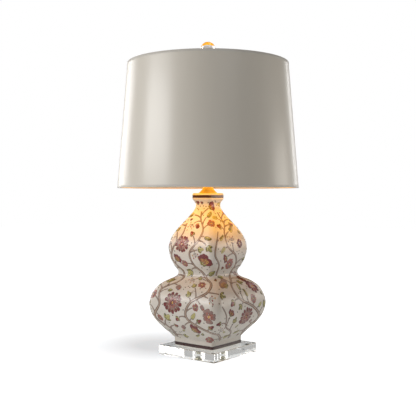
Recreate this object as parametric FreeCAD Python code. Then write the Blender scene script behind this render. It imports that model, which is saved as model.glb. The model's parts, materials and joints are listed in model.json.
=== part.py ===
"""Table lamp with a square double gourd body of glazed porcelain, a clear block base,
a brass cap and neck, a turn-knob socket with its bulb, a detachable harp, a tapered
drum shade on a spider, and a ball finial.

Millimetres, +Z up. The origin is the centre of the footprint, on the table top. The
flat sides of the gourd and of the base face along X and Y, and the harp stands in the
XZ plane. Every piece is one node, written to parts/NODE.step.
"""

import FreeCAD, Part
import math
import os
from FreeCAD import Vector

UP = Vector(0, 0, 1)
ORIGIN = Vector(0, 0, 0)

# Clear base block and what holds the stack together from below
BASE_SIDE = 157.0
BASE_THICKNESS = 20.5
BASE_EDGE_BEVEL = 1.0
PAD_RADIUS = 6.0
PAD_THICKNESS = 1.6
PAD_INSET = 15.0
NUT_POCKET_RADIUS = 16.0
NUT_POCKET_DEPTH = 9.0
PIPE_RADIUS = 4.9
PIPE_BORE_RADIUS = 3.4
PIPE_HOLE_CLEARANCE = 0.4
PIPE_END_BELOW_NUT = 1.2
WASHER_RADIUS = 13.0
WASHER_THICKNESS = 1.5
NUT_ACROSS_FLATS = 15.9
BASE_NUT_HEIGHT = 4.5
THREAD_CLEARANCE = 0.05

# Porcelain gourd: levels above its foot, half widths across the flats, corner radii
FOOT_HEIGHT = 17.0
FOOT_HALF_WIDTH = 56.4
FOOT_CORNER = 5.0
BELLY_LEVEL = 95.0
BELLY_HALF_WIDTH = 102.1
BELLY_CORNER = 22.0
WAIST_LEVEL = 160.5
WAIST_HALF_WIDTH = 52.2
WAIST_CORNER = 13.5
CROWN_LEVEL = 219.0
CROWN_HALF_WIDTH = 69.2
CROWN_CORNER = 18.0
NECK_LEVEL = 314.0
NECK_HALF_WIDTH = 21.8
NECK_CORNER = 7.0
RIM_LEVEL = 328.7
RIM_HALF_WIDTH = 27.3
RIM_CORNER = 6.0
RIM_HEIGHT = 8.2
LIP_RISE = 3.6
SIDE_BULGE_SHARE = 0.035
GOURD_WALL = 5.0
GOURD_FLOOR = 6.0
GOURD_TOP_WALL = 7.0
LEAST_INSIDE_CORNER = 1.5
# Points between two levels, as (share of the height, share of the change of width)
FOOT_TO_BELLY = [(0.253, 0.382), (0.557, 0.799)]
BELLY_TO_WAIST = [(0.580, 0.297), (0.794, 0.659), (0.916, 0.934)]
WAIST_TO_CROWN = [(0.265, 0.332), (0.607, 0.818)]
CROWN_TO_NECK = [(0.368, 0.236), (0.705, 0.717), (0.881, 0.937)]
FOOT_FLARE = Vector(0.78, 0.35, 1.0)
RIM_FLARE = Vector(0.55, 0.0, 1.0)
GOURD_SECTION_COUNT = 40

# Cord bushing in the back of the foot
BUSHING_LEVEL = 12.2
BUSHING_FLANGE_RADIUS = 4.7
BUSHING_FLANGE_THICKNESS = 1.2
BUSHING_BARREL_RADIUS = 3.9
BUSHING_BORE_RADIUS = 3.0
BUSHING_INSIDE_LENGTH = 1.5

# Brass cap and neck
CAP_FLANGE_RADIUS = 20.4
CAP_FLANGE_THICKNESS = 1.4
CAP_HEIGHT = 24.0
CAP_TOP_RADIUS = 9.6
CAP_SPRING_RADIUS = 16.6
NECK_TUBE_RADIUS = 8.2
NECK_BEAD_RADIUS = 10.4
NECK_TUBE_LENGTH = 16.0

# Harp saddle, harp, sleeves and stud
SADDLE_WIDTH = 12.7
STRIP_THICKNESS = 1.6
SADDLE_ARM_HEIGHT = 17.0
SADDLE_BEND = 5.0
TONGUE_WIDTH = 2.6
TONGUE_HEIGHT = 8.0
LOCKNUT_HEIGHT = 3.2
HARP_HALF_FOOT = 27.0
HARP_HALF_WIDTH = 57.0
HARP_HEIGHT = 241.0
HARP_WIRE_RADIUS = 1.9
HARP_LEG_STRAIGHT = 44.0
HARP_FLARE_HEIGHT = 46.0
HARP_FLARE_BEND = 30.0
HARP_SHOULDER_BEND = 50.0
SLEEVE_RADIUS = 4.2
SLEEVE_LENGTH = 20.0
SLEEVE_CLEARANCE = 0.08
STUD_BARREL_RADIUS = 5.4
STUD_BARREL_HALF_HEIGHT = 4.0
STUD_FLANGE_RADIUS = 7.6
STUD_FLANGE_THICKNESS = 1.6
STUD_RADIUS = 3.1
STUD_LENGTH = 12.5

# Socket, from the locknut up
SOCKET_CAP_HUB_RADIUS = 7.6
SOCKET_CAP_HUB_HEIGHT = 5.0
SOCKET_CAP_HEIGHT = 20.0
SOCKET_WALL = 0.7
SHELL_RADIUS = 17.2
SHELL_LENGTH = 47.0
SHELL_SEAT_DEPTH = 4.0
SHELL_LIP = 0.7
SOCKET_GAP = 0.1
LINER_WALL = 0.6
LINER_SETBACK = 1.5
KNOB_SLOT_WIDTH = 9.0
SWITCH_BODY_RADIUS = 15.4
SWITCH_BODY_HEIGHT = 25.0
TERMINAL_FLAT = 11.0
TERMINAL_FLAT_MARGIN = 1.5
TERMINAL_HEAD_RADIUS = 3.2
TERMINAL_HEAD_THICKNESS = 1.8
TERMINAL_SHANK_RADIUS = 1.6
TERMINAL_SHANK_LENGTH = 4.0
SCREW_SHELL_BORE = 13.3
SCREW_SHELL_WALL = 0.45
SCREW_SHELL_LENGTH = 23.0
CONTACT_WIDTH = 5.0
CONTACT_THICKNESS = 0.6
CONTACT_RISE = 2.4
CONTACT_OUTER_END = 9.0
CONTACT_STEP_START = 2.0
CONTACT_STEP_END = -1.0
CONTACT_INNER_END = -4.5
CONTACT_BEND = 1.2
SET_SCREW_RADIUS = 1.7
SET_SCREW_LENGTH = 3.4

# Turn knob
KNOB_LEVEL = 15.0
STEM_RADIUS = 1.6
STEM_CLEARANCE = 0.1
STEM_IN_BODY = 6.0
KNOB_GAP = 3.0
KNOB_RADIUS = 6.4
KNOB_LENGTH = 13.0
KNOB_RIB_COUNT = 18
KNOB_GROOVE_RADIUS = 0.75
KNOB_END_BEVEL = 1.2
KNOB_HOLE_DEPTH = 8.0

# Bulb
BULB_THREAD_RADIUS = 12.9
BULB_BASE_LENGTH = 18.0
BULB_BASE_WALL = 0.5
BULB_INSULATOR_HEIGHT = 4.2
BULB_INSULATOR_RADIUS = 5.6
BULB_CONTACT_RADIUS = 4.4
BULB_CONTACT_HEIGHT = 1.6
BULB_NECK_RADIUS = 12.2
BULB_RADIUS = 31.0
BULB_GLASS_LENGTH = 84.0
BULB_GLASS_WALL = 0.9
BULB_STEM_RADIUS = 3.2
BULB_STEM_LENGTH = 26.0
BULB_STEM_START = 3.0
FILAMENT_WIRE_RADIUS = 0.5
FILAMENT_HALF_SPAN = 11.0
FILAMENT_RISE = 20.0
FILAMENT_COIL_RADIUS = 1.1
LEAD_BEND = 2.5

# Shade: outside radii, height, and how far its top edge stands over the spider hub
SHADE_TOP_RADIUS = 180.5
SHADE_BOTTOM_RADIUS = 203.2
SHADE_HEIGHT = 277.6
SHADE_TOP_OVER_HUB = 5.3
SHADE_WALL = 1.2
LINING_WALL = 0.3
GLUE_GAP = 0.03
SEAM_WIDTH = 11.0
SEAM_THICKNESS = 0.6
TRIM_HEIGHT = 5.0
TRIM_WALL = 0.3
RING_WIRE_RADIUS = 1.6
HUB_RADIUS = 12.0
HUB_HOLE_RADIUS = 5.6
HUB_THICKNESS = 3.2
SPIDER_ARM_COUNT = 3
SPIDER_WIRE_RADIUS = 1.5
SPIDER_FIRST_ARM_ANGLE = 90.0
SPIDER_RISE_LENGTH = 9.0
SPIDER_BEND = 8.0

# Finial
FINIAL_FOOT_RADIUS = 8.6
FINIAL_FOOT_HEIGHT = 3.2
FINIAL_SHOULDER_RADIUS = 7.4
FINIAL_WAIST_RADIUS = 4.9
FINIAL_WAIST_LEVEL = 16.1
FINIAL_CUP_RADIUS = 8.4
FINIAL_BASE_HEIGHT = 26.0
FINIAL_BORE_CLEARANCE = 0.15
FINIAL_BORE_SPARE = 1.5
BALL_RADIUS = 16.3
BALL_SEAT_DEPTH = 2.6

# Levels of the stack, each standing on the piece below it
BASE_BOTTOM = PAD_THICKNESS
BASE_TOP = BASE_BOTTOM + BASE_THICKNESS
GOURD_FOOT = BASE_TOP
RIM_TOP = GOURD_FOOT + RIM_LEVEL + RIM_HEIGHT
GOURD_TOP = RIM_TOP + LIP_RISE
CAP_TOP = GOURD_TOP + CAP_HEIGHT
SADDLE_BOTTOM = CAP_TOP + NECK_TUBE_LENGTH
SADDLE_TOP = SADDLE_BOTTOM + STRIP_THICKNESS
SOCKET_BOTTOM = SADDLE_TOP + LOCKNUT_HEIGHT
SOCKET_CAP_TOP = SOCKET_BOTTOM + SOCKET_CAP_HEIGHT
SHELL_BOTTOM = SOCKET_CAP_TOP - SHELL_SEAT_DEPTH
SHELL_TOP = SHELL_BOTTOM + SHELL_LENGTH
SWITCH_BOTTOM = SHELL_BOTTOM + SOCKET_WALL
SWITCH_TOP = SWITCH_BOTTOM + SWITCH_BODY_HEIGHT
KNOB_AXIS = SWITCH_BOTTOM + KNOB_LEVEL
BULB_BOTTOM = SWITCH_TOP + CONTACT_THICKNESS + CONTACT_RISE
BULB_BASE_BOTTOM = BULB_BOTTOM + BULB_CONTACT_HEIGHT + BULB_INSULATOR_HEIGHT
BULB_BASE_TOP = BULB_BASE_BOTTOM + BULB_BASE_LENGTH
SADDLE_SHOULDER = SADDLE_TOP + SADDLE_ARM_HEIGHT
LEG_END = SADDLE_SHOULDER + TONGUE_HEIGHT
HARP_TOP = SADDLE_BOTTOM + HARP_HEIGHT
HARP_WIRE_TOP = HARP_TOP - STUD_FLANGE_THICKNESS - STUD_BARREL_HALF_HEIGHT
HUB_TOP = HARP_TOP + HUB_THICKNESS
SHADE_TOP = HUB_TOP + SHADE_TOP_OVER_HUB
SHADE_BOTTOM = SHADE_TOP - SHADE_HEIGHT
FINIAL_BASE_TOP = HUB_TOP + FINIAL_BASE_HEIGHT
BALL_CENTRE = FINIAL_BASE_TOP - BALL_SEAT_DEPTH + BALL_RADIUS


# Helpers

def box(x, y, z, low):
    """Box of that size, centred on X and Y, with its underside at low."""
    return Part.makeBox(x, y, z, Vector(-x / 2, -y / 2, low))


def disc(radius, low, high, centre=(0.0, 0.0)):
    """Upright cylinder from one level to another."""
    return Part.makeCylinder(radius, high - low, Vector(centre[0], centre[1], low), UP)


def tube(outside, bore, low, high):
    return disc(outside, low, high).cut(disc(bore, low, high))


def turned(edges):
    """Solid of revolution about Z from the edges of a closed outline in the XZ plane."""
    face = Part.Face(Part.Wire(edges))
    return face.revolve(ORIGIN, UP, 360)


def outline(points):
    """Straight edges through (radius, level) points, closed."""
    corners = [Vector(r, 0, z) for r, z in points]
    return [Part.makeLine(a, b) for a, b in zip(corners, corners[1:] + corners[:1])]


def line(a, b):
    return Part.makeLine(Vector(a[0], 0, a[1]), Vector(b[0], 0, b[1]))


def arc(centre, radius, start, end):
    """Arc in the XZ plane between two angles in degrees, counted from +X towards +Z."""
    ends = [Vector(centre[0] + radius * math.cos(math.radians(angle)), 0,
                   centre[1] + radius * math.sin(math.radians(angle)))
            for angle in (start, (start + end) / 2, end)]
    return Part.Arc(ends[0], ends[1], ends[2]).toShape()


def flaring_arc(flare, rise):
    """Radius and turn in degrees of an arc that is upright at one end and flares by the other."""
    return (flare ** 2 + rise ** 2) / (2 * flare), math.degrees(2 * math.atan2(flare, rise))


def hexagon_nut(low, high, bore):
    corner = NUT_ACROSS_FLATS / 2 / math.cos(math.radians(30))
    points = [Vector(corner * math.cos(math.radians(a)), corner * math.sin(math.radians(a)), low)
              for a in range(0, 361, 60)]
    prism = Part.Face(Part.makePolygon(points)).extrude(UP * (high - low))
    return prism.cut(disc(bore, low, high))


def rounded_path(points, radii):
    """Wire through the points, with a tangent arc of the given radius at each inner point."""
    edges, last = [], points[0]
    for before, corner, after, radius in zip(points, points[1:], points[2:], radii):
        back = (before - corner).normalize()
        ahead = (after - corner).normalize()
        half = back.getAngle(ahead) / 2
        reach = radius / math.tan(half)
        inner = corner + (back + ahead).normalize() * (radius / math.sin(half))
        middle = inner + (corner - inner).normalize() * radius
        begin, end = corner + back * reach, corner + ahead * reach
        edges.append(Part.makeLine(last, begin))
        edges.append(Part.Arc(begin, middle, end).toShape())
        last = end
    edges.append(Part.makeLine(last, points[-1]))
    return Part.Wire(edges)


def wire_rod(path, radius):
    """Round rod along a wire."""
    start = path.Edges[0]
    direction = start.tangentAt(start.FirstParameter)
    end_face = Part.Wire(Part.makeCircle(radius, start.valueAt(start.FirstParameter), direction))
    return path.makePipeShell([end_face], True, False)


# Base

def base_block():
    block = box(BASE_SIDE, BASE_SIDE, BASE_THICKNESS, BASE_BOTTOM)
    block = block.makeChamfer(BASE_EDGE_BEVEL, block.Edges)
    block = block.cut(disc(NUT_POCKET_RADIUS, BASE_BOTTOM, BASE_BOTTOM + NUT_POCKET_DEPTH))
    return block.cut(disc(PIPE_RADIUS + PIPE_HOLE_CLEARANCE, BASE_BOTTOM, BASE_TOP))


def base_pads():
    reach = BASE_SIDE / 2 - PAD_INSET
    return Part.makeCompound([disc(PAD_RADIUS, 0, PAD_THICKNESS, (x, y))
                              for x in (-reach, reach) for y in (-reach, reach)])


def base_washer():
    ceiling = BASE_BOTTOM + NUT_POCKET_DEPTH
    return tube(WASHER_RADIUS, PIPE_RADIUS + THREAD_CLEARANCE, ceiling - WASHER_THICKNESS, ceiling)


def base_nut():
    high = BASE_BOTTOM + NUT_POCKET_DEPTH - WASHER_THICKNESS
    return hexagon_nut(high - BASE_NUT_HEIGHT, high, PIPE_RADIUS + THREAD_CLEARANCE)


def lamp_pipe():
    nut_bottom = BASE_BOTTOM + NUT_POCKET_DEPTH - WASHER_THICKNESS - BASE_NUT_HEIGHT
    return tube(PIPE_RADIUS, PIPE_BORE_RADIUS, nut_bottom - PIPE_END_BELOW_NUT,
                SOCKET_BOTTOM + SOCKET_CAP_HUB_HEIGHT)


# Porcelain gourd

def between(low, high, shares):
    """Stations between two levels; width and corner radius change by the same share."""
    return [tuple(a + (b - a) * share for a, b, share in zip(low, high, (up, out, out)))
            for up, out in shares]


def gourd_profile():
    """Curve through (half width, corner radius, level), from the foot's top to the rim."""
    foot = (FOOT_HEIGHT, FOOT_HALF_WIDTH, FOOT_CORNER)
    belly = (BELLY_LEVEL, BELLY_HALF_WIDTH, BELLY_CORNER)
    waist = (WAIST_LEVEL, WAIST_HALF_WIDTH, WAIST_CORNER)
    crown = (CROWN_LEVEL, CROWN_HALF_WIDTH, CROWN_CORNER)
    neck = (NECK_LEVEL, NECK_HALF_WIDTH, NECK_CORNER)
    rim = (RIM_LEVEL, RIM_HALF_WIDTH, RIM_CORNER)
    stations = ([foot] + between(foot, belly, FOOT_TO_BELLY)
                + [belly] + between(belly, waist, BELLY_TO_WAIST)
                + [waist] + between(waist, crown, WAIST_TO_CROWN)
                + [crown] + between(crown, neck, CROWN_TO_NECK) + [neck, rim])
    profile = Part.BSplineCurve()
    profile.interpolate(Points=[Vector(width, corner, level) for level, width, corner in stations],
                        InitialTangent=FOOT_FLARE, FinalTangent=RIM_FLARE)
    return profile


def gourd_section(half_width, corner, level):
    """Square with slightly bulged sides and round corners, as a closed wire."""
    side = half_width * (1 + SIDE_BULGE_SHARE ** 2) / (2 * SIDE_BULGE_SHARE)
    drop = side - half_width
    place = (math.sqrt(2 * (side - corner) ** 2 - drop ** 2) - drop) / 2
    stretch = side / (side - corner)
    touch_x = place * stretch
    touch_y = (place + drop) * stretch - drop
    tip = place + corner * math.sqrt(0.5)
    edges = []
    for quarter in range(4):
        turn = FreeCAD.Rotation(UP, 90 * quarter)
        points = [turn.multVec(Vector(x, y, 0)) + UP * level for x, y in (
            (-touch_x, touch_y), (0, half_width), (touch_x, touch_y), (tip, tip), (touch_y, touch_x))]
        edges.append(Part.Arc(points[0], points[1], points[2]).toShape())
        edges.append(Part.Arc(points[2], points[3], points[4]).toShape())
    return Part.Wire(Part.sortEdges(edges)[0])


def upright_part(half_width, corner, low, high):
    wire = gourd_section(half_width, corner, low)
    return Part.Face(wire).extrude(UP * (high - low))


def swelling_part(inset, ruled):
    """Loft through sections at equal steps along the profile, each moved in by inset.

    The move is square to the swelling outline, so a wall keeps its thickness where the outline
    slopes. The end sections move level, to meet the upright foot and rim.
    """
    profile = gourd_profile()
    first, last = profile.FirstParameter, profile.LastParameter
    step = profile.length(first, last) / (GOURD_SECTION_COUNT - 1)
    places = [profile.parameterAtDistance(step * i, first) for i in range(1, GOURD_SECTION_COUNT - 1)]
    wires = []
    for place in [first] + places + [last]:
        width, corner, level = profile.value(place)
        climb = profile.tangent(place)[0] if first < place < last else UP
        slope = Vector(climb.x, 0, climb.z).normalize() * inset
        wires.append(gourd_section(width - slope.z, max(corner - slope.z, LEAST_INSIDE_CORNER),
                                   GOURD_FOOT + level + slope.x))
    return Part.makeLoft(wires, True, ruled)


def gourd_outside():
    foot = upright_part(FOOT_HALF_WIDTH, FOOT_CORNER, GOURD_FOOT, GOURD_FOOT + FOOT_HEIGHT)
    rim = upright_part(RIM_HALF_WIDTH, RIM_CORNER, GOURD_FOOT + RIM_LEVEL, GOURD_TOP)
    upper = [edge for edge in rim.Edges
             if all(abs(v.Z - GOURD_TOP) < THREAD_CLEARANCE for v in edge.Vertexes)]
    rim = rim.makeFillet(LIP_RISE, upper)
    return foot.fuse([swelling_part(0, False), rim])


def gourd_inside():
    corner = max(FOOT_CORNER - GOURD_WALL, LEAST_INSIDE_CORNER)
    foot = upright_part(FOOT_HALF_WIDTH - GOURD_WALL, corner,
                        GOURD_FOOT + GOURD_FLOOR, GOURD_FOOT + FOOT_HEIGHT)
    rim = upright_part(RIM_HALF_WIDTH - GOURD_WALL, max(RIM_CORNER - GOURD_WALL, LEAST_INSIDE_CORNER),
                       GOURD_FOOT + RIM_LEVEL, GOURD_TOP - GOURD_TOP_WALL)
    return foot.fuse([swelling_part(GOURD_WALL, True), rim])


def bushing_barrel(radius, start, length):
    """Cylinder along Y through the back of the foot, from start towards the back."""
    return Part.makeCylinder(radius, length, Vector(0, start, GOURD_FOOT + BUSHING_LEVEL),
                             Vector(0, 1, 0))


def gourd_body():
    body = gourd_outside().cut(gourd_inside())
    body = body.cut(disc(PIPE_RADIUS + PIPE_HOLE_CLEARANCE, GOURD_FOOT, GOURD_TOP))
    hole_start = FOOT_HALF_WIDTH - GOURD_WALL - BUSHING_INSIDE_LENGTH
    hole = bushing_barrel(BUSHING_BARREL_RADIUS + THREAD_CLEARANCE, hole_start, GOURD_WALL * 2)
    return body.cut(hole).removeSplitter()


def cord_bushing():
    start = FOOT_HALF_WIDTH - GOURD_WALL - BUSHING_INSIDE_LENGTH
    length = GOURD_WALL + BUSHING_INSIDE_LENGTH
    barrel = bushing_barrel(BUSHING_BARREL_RADIUS, start, length)
    flange = bushing_barrel(BUSHING_FLANGE_RADIUS, FOOT_HALF_WIDTH, BUSHING_FLANGE_THICKNESS)
    bore = bushing_barrel(BUSHING_BORE_RADIUS, start, length + BUSHING_FLANGE_THICKNESS)
    return barrel.fuse(flange).cut(bore).removeSplitter()


# Brass cap, neck and saddle

def vase_cap():
    """Spun cap: a flat flange that sweeps up into a narrow collar."""
    bore = PIPE_RADIUS + PIPE_HOLE_CLEARANCE
    flange_top = GOURD_TOP + CAP_FLANGE_THICKNESS
    radius, turn = flaring_arc(CAP_SPRING_RADIUS - CAP_TOP_RADIUS, CAP_TOP - flange_top)
    sweep = arc((CAP_TOP_RADIUS + radius, CAP_TOP), radius, 180 + turn, 180)
    return turned([line((bore, GOURD_TOP), (CAP_FLANGE_RADIUS, GOURD_TOP)),
                   line((CAP_FLANGE_RADIUS, GOURD_TOP), (CAP_FLANGE_RADIUS, flange_top)),
                   line((CAP_FLANGE_RADIUS, flange_top), (CAP_SPRING_RADIUS, flange_top)),
                   sweep,
                   line((CAP_TOP_RADIUS, CAP_TOP), (bore, CAP_TOP)),
                   line((bore, CAP_TOP), (bore, GOURD_TOP))])


def neck_tube():
    """Turned spacer with a round bead at half height."""
    bore = PIPE_RADIUS + PIPE_HOLE_CLEARANCE
    middle = (CAP_TOP + SADDLE_BOTTOM) / 2
    bead = NECK_BEAD_RADIUS - NECK_TUBE_RADIUS
    bulge = Part.Arc(Vector(NECK_TUBE_RADIUS, 0, middle - bead), Vector(NECK_BEAD_RADIUS, 0, middle),
                     Vector(NECK_TUBE_RADIUS, 0, middle + bead)).toShape()
    return turned([line((bore, CAP_TOP), (NECK_TUBE_RADIUS, CAP_TOP)),
                   line((NECK_TUBE_RADIUS, CAP_TOP), (NECK_TUBE_RADIUS, middle - bead)),
                   bulge,
                   line((NECK_TUBE_RADIUS, middle + bead), (NECK_TUBE_RADIUS, SADDLE_BOTTOM)),
                   line((NECK_TUBE_RADIUS, SADDLE_BOTTOM), (bore, SADDLE_BOTTOM)),
                   line((bore, SADDLE_BOTTOM), (bore, CAP_TOP))])


def harp_saddle():
    """Bent strip with an upright arm each side, ending in a narrow tongue for the harp."""
    middle = SADDLE_BOTTOM + STRIP_THICKNESS / 2
    path = rounded_path([Vector(-HARP_HALF_FOOT, 0, SADDLE_SHOULDER),
                         Vector(-HARP_HALF_FOOT, 0, middle), Vector(HARP_HALF_FOOT, 0, middle),
                         Vector(HARP_HALF_FOOT, 0, SADDLE_SHOULDER)], [SADDLE_BEND, SADDLE_BEND])
    thick, wide = STRIP_THICKNESS / 2, SADDLE_WIDTH / 2
    end = Part.makePolygon([Vector(x - HARP_HALF_FOOT, y, SADDLE_SHOULDER) for x, y in (
        (-thick, -wide), (thick, -wide), (thick, wide), (-thick, wide), (-thick, -wide))])
    strip = path.makePipeShell([end], True, False)
    tongues = [box(STRIP_THICKNESS, TONGUE_WIDTH, TONGUE_HEIGHT, SADDLE_SHOULDER).translated(
        Vector(side * HARP_HALF_FOOT, 0, 0)) for side in (-1, 1)]
    hole = disc(PIPE_RADIUS + THREAD_CLEARANCE, SADDLE_BOTTOM, SADDLE_TOP)
    return strip.fuse(tongues).cut(hole).removeSplitter()


def saddle_locknut():
    return hexagon_nut(SADDLE_TOP, SOCKET_BOTTOM, PIPE_RADIUS + THREAD_CLEARANCE)


# Socket

def knob_slot(radius):
    """Open slot for the knob's stem, from the skirt's lower edge up past the stem."""
    return Part.makeBox(KNOB_SLOT_WIDTH, radius, KNOB_AXIS + KNOB_SLOT_WIDTH / 2 - SHELL_BOTTOM,
                        Vector(-KNOB_SLOT_WIDTH / 2, -radius - radius / 2, SHELL_BOTTOM))


def socket_cap():
    """Spun dome, threaded on the pipe, that the shell snaps into."""
    outer = SHELL_RADIUS + SOCKET_GAP + SOCKET_WALL
    inner = outer - SOCKET_WALL
    hub_top = SOCKET_BOTTOM + SOCKET_CAP_HUB_HEIGHT
    radius, turn = flaring_arc(outer - SOCKET_CAP_HUB_RADIUS, SHELL_BOTTOM - hub_top)
    centre = (outer - radius, SHELL_BOTTOM)
    floor = arc(centre, radius - SOCKET_WALL, 0, -turn)
    floor_edge = floor.Vertexes[-1].Point
    bore = PIPE_RADIUS + THREAD_CLEARANCE
    cap = turned([line((bore, SOCKET_BOTTOM), (SOCKET_CAP_HUB_RADIUS, SOCKET_BOTTOM)),
                  line((SOCKET_CAP_HUB_RADIUS, SOCKET_BOTTOM), (SOCKET_CAP_HUB_RADIUS, hub_top)),
                  arc(centre, radius, -turn, 0),
                  line((outer, SHELL_BOTTOM), (outer, SOCKET_CAP_TOP)),
                  line((outer, SOCKET_CAP_TOP), (inner, SOCKET_CAP_TOP)),
                  line((inner, SOCKET_CAP_TOP), (inner, SHELL_BOTTOM)),
                  floor,
                  line((floor_edge.x, floor_edge.z), (bore, floor_edge.z)),
                  line((bore, floor_edge.z), (bore, SOCKET_BOTTOM))])
    return cap.cut(set_screw_axis(SET_SCREW_RADIUS + THREAD_CLEARANCE, PIPE_RADIUS, SET_SCREW_LENGTH * 2))


def set_screw_axis(radius, start, length):
    level = SOCKET_BOTTOM + SOCKET_CAP_HUB_HEIGHT / 2
    return Part.makeCylinder(radius, length, Vector(start, 0, level), Vector(1, 0, 0))


def socket_set_screw():
    return set_screw_axis(SET_SCREW_RADIUS, PIPE_RADIUS + THREAD_CLEARANCE, SET_SCREW_LENGTH)


def socket_shell():
    """Straight skirt with a small rolled lip at the mouth and a slot for the knob."""
    bore = SHELL_RADIUS - SOCKET_WALL
    shell = turned(outline([(bore, SHELL_BOTTOM), (SHELL_RADIUS, SHELL_BOTTOM),
                            (SHELL_RADIUS, SHELL_TOP - SHELL_LIP * 3),
                            (SHELL_RADIUS + SHELL_LIP, SHELL_TOP - SHELL_LIP * 2),
                            (SHELL_RADIUS + SHELL_LIP, SHELL_TOP - SHELL_LIP),
                            (SHELL_RADIUS, SHELL_TOP), (bore, SHELL_TOP)]))
    return shell.cut(knob_slot(SHELL_RADIUS + SHELL_LIP))


def socket_liner():
    outside = SHELL_RADIUS - SOCKET_WALL - SOCKET_GAP
    sleeve = tube(outside, outside - LINER_WALL, SHELL_BOTTOM, SHELL_TOP - LINER_SETBACK)
    return sleeve.cut(knob_slot(SHELL_RADIUS))


def stem_bore(radius, start, length):
    """Cylinder along the knob's axis, from start towards the front."""
    return Part.makeCylinder(radius, length, Vector(0, -start, KNOB_AXIS), Vector(0, -1, 0))


def terminal_level():
    return SWITCH_BOTTOM + TERMINAL_HEAD_RADIUS + TERMINAL_FLAT_MARGIN


def terminal_shanks(radius):
    return [Part.makeCylinder(radius, TERMINAL_SHANK_LENGTH,
                              Vector(side * TERMINAL_FLAT, 0, terminal_level()), Vector(-side, 0, 0))
            for side in (-1, 1)]


def switch_body():
    """Moulded core of the socket, with flats for the two terminal screws."""
    body = disc(SWITCH_BODY_RADIUS, SWITCH_BOTTOM, SWITCH_TOP)
    flat_height = 2 * (TERMINAL_HEAD_RADIUS + TERMINAL_FLAT_MARGIN)
    for side in (-1, 1):
        flat = box(SWITCH_BODY_RADIUS, 2 * SWITCH_BODY_RADIUS, flat_height, SWITCH_BOTTOM)
        body = body.cut(flat.translated(Vector(side * (TERMINAL_FLAT + SWITCH_BODY_RADIUS / 2), 0, 0)))
    body = body.cut(terminal_shanks(TERMINAL_SHANK_RADIUS + THREAD_CLEARANCE))
    bore_start = SWITCH_BODY_RADIUS - STEM_IN_BODY
    return body.cut(stem_bore(STEM_RADIUS + STEM_CLEARANCE, bore_start, STEM_IN_BODY * 2))


def terminal_screws():
    screws = []
    for side, shank in zip((-1, 1), terminal_shanks(TERMINAL_SHANK_RADIUS)):
        head = Part.makeCylinder(TERMINAL_HEAD_RADIUS, TERMINAL_HEAD_THICKNESS,
                                 Vector(side * TERMINAL_FLAT, 0, terminal_level()), Vector(side, 0, 0))
        screws.append(shank.fuse(head).removeSplitter())
    return Part.makeCompound(screws)


def screw_shell():
    return tube(SCREW_SHELL_BORE + SCREW_SHELL_WALL, SCREW_SHELL_BORE, SWITCH_TOP,
                SWITCH_TOP + SCREW_SHELL_LENGTH)


def centre_contact():
    """Bent brass tongue on the socket's floor that presses on the bulb's contact."""
    low = SWITCH_TOP + CONTACT_THICKNESS / 2
    high = low + CONTACT_RISE
    path = rounded_path([Vector(CONTACT_OUTER_END, 0, low), Vector(CONTACT_STEP_START, 0, low),
                         Vector(CONTACT_STEP_END, 0, high), Vector(CONTACT_INNER_END, 0, high)],
                        [CONTACT_BEND, CONTACT_BEND])
    half = CONTACT_THICKNESS / 2
    end = Part.makePolygon([Vector(CONTACT_OUTER_END, y * CONTACT_WIDTH / 2, low + z * half) for y, z in (
        (-1, -1), (1, -1), (1, 1), (-1, 1), (-1, -1))])
    return path.makePipeShell([end], True, False)


# Turn knob

def stem_length():
    return STEM_IN_BODY - STEM_CLEARANCE + SHELL_RADIUS - SWITCH_BODY_RADIUS + KNOB_GAP + KNOB_HOLE_DEPTH


def switch_stem():
    return stem_bore(STEM_RADIUS, SWITCH_BODY_RADIUS - STEM_IN_BODY + STEM_CLEARANCE, stem_length())


def switch_knob():
    """Ribbed knob, bevelled at both ends, on the stem's outer end."""
    start = SHELL_RADIUS + KNOB_GAP
    knob = stem_bore(KNOB_RADIUS, start, KNOB_LENGTH)
    ends = [edge for edge in knob.Edges if isinstance(edge.Curve, Part.Circle)]
    knob = knob.makeChamfer(KNOB_END_BEVEL, ends)
    grooves = []
    for i in range(KNOB_RIB_COUNT):
        angle = 2 * math.pi * i / KNOB_RIB_COUNT
        groove = stem_bore(KNOB_GROOVE_RADIUS, start, KNOB_LENGTH)
        grooves.append(groove.translated(Vector(KNOB_RADIUS * math.cos(angle), 0,
                                                KNOB_RADIUS * math.sin(angle))))
    knob = knob.cut(grooves)
    return knob.cut(stem_bore(STEM_RADIUS + THREAD_CLEARANCE, start, KNOB_HOLE_DEPTH))


# Bulb

def bulb_contact():
    return disc(BULB_CONTACT_RADIUS, BULB_BOTTOM, BULB_BOTTOM + BULB_CONTACT_HEIGHT)


def bulb_insulator():
    low = BULB_BOTTOM + BULB_CONTACT_HEIGHT
    return Part.makeCone(BULB_INSULATOR_RADIUS, BULB_THREAD_RADIUS - BULB_BASE_WALL,
                         BULB_INSULATOR_HEIGHT, Vector(0, 0, low), UP)


def bulb_base():
    """Drawn cup with an open top that the neck of the glass is cemented in."""
    cup = disc(BULB_THREAD_RADIUS, BULB_BASE_BOTTOM, BULB_BASE_TOP)
    return cup.cut(disc(BULB_THREAD_RADIUS - BULB_BASE_WALL, BULB_BASE_BOTTOM + BULB_BASE_WALL,
                        BULB_BASE_TOP))


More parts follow.
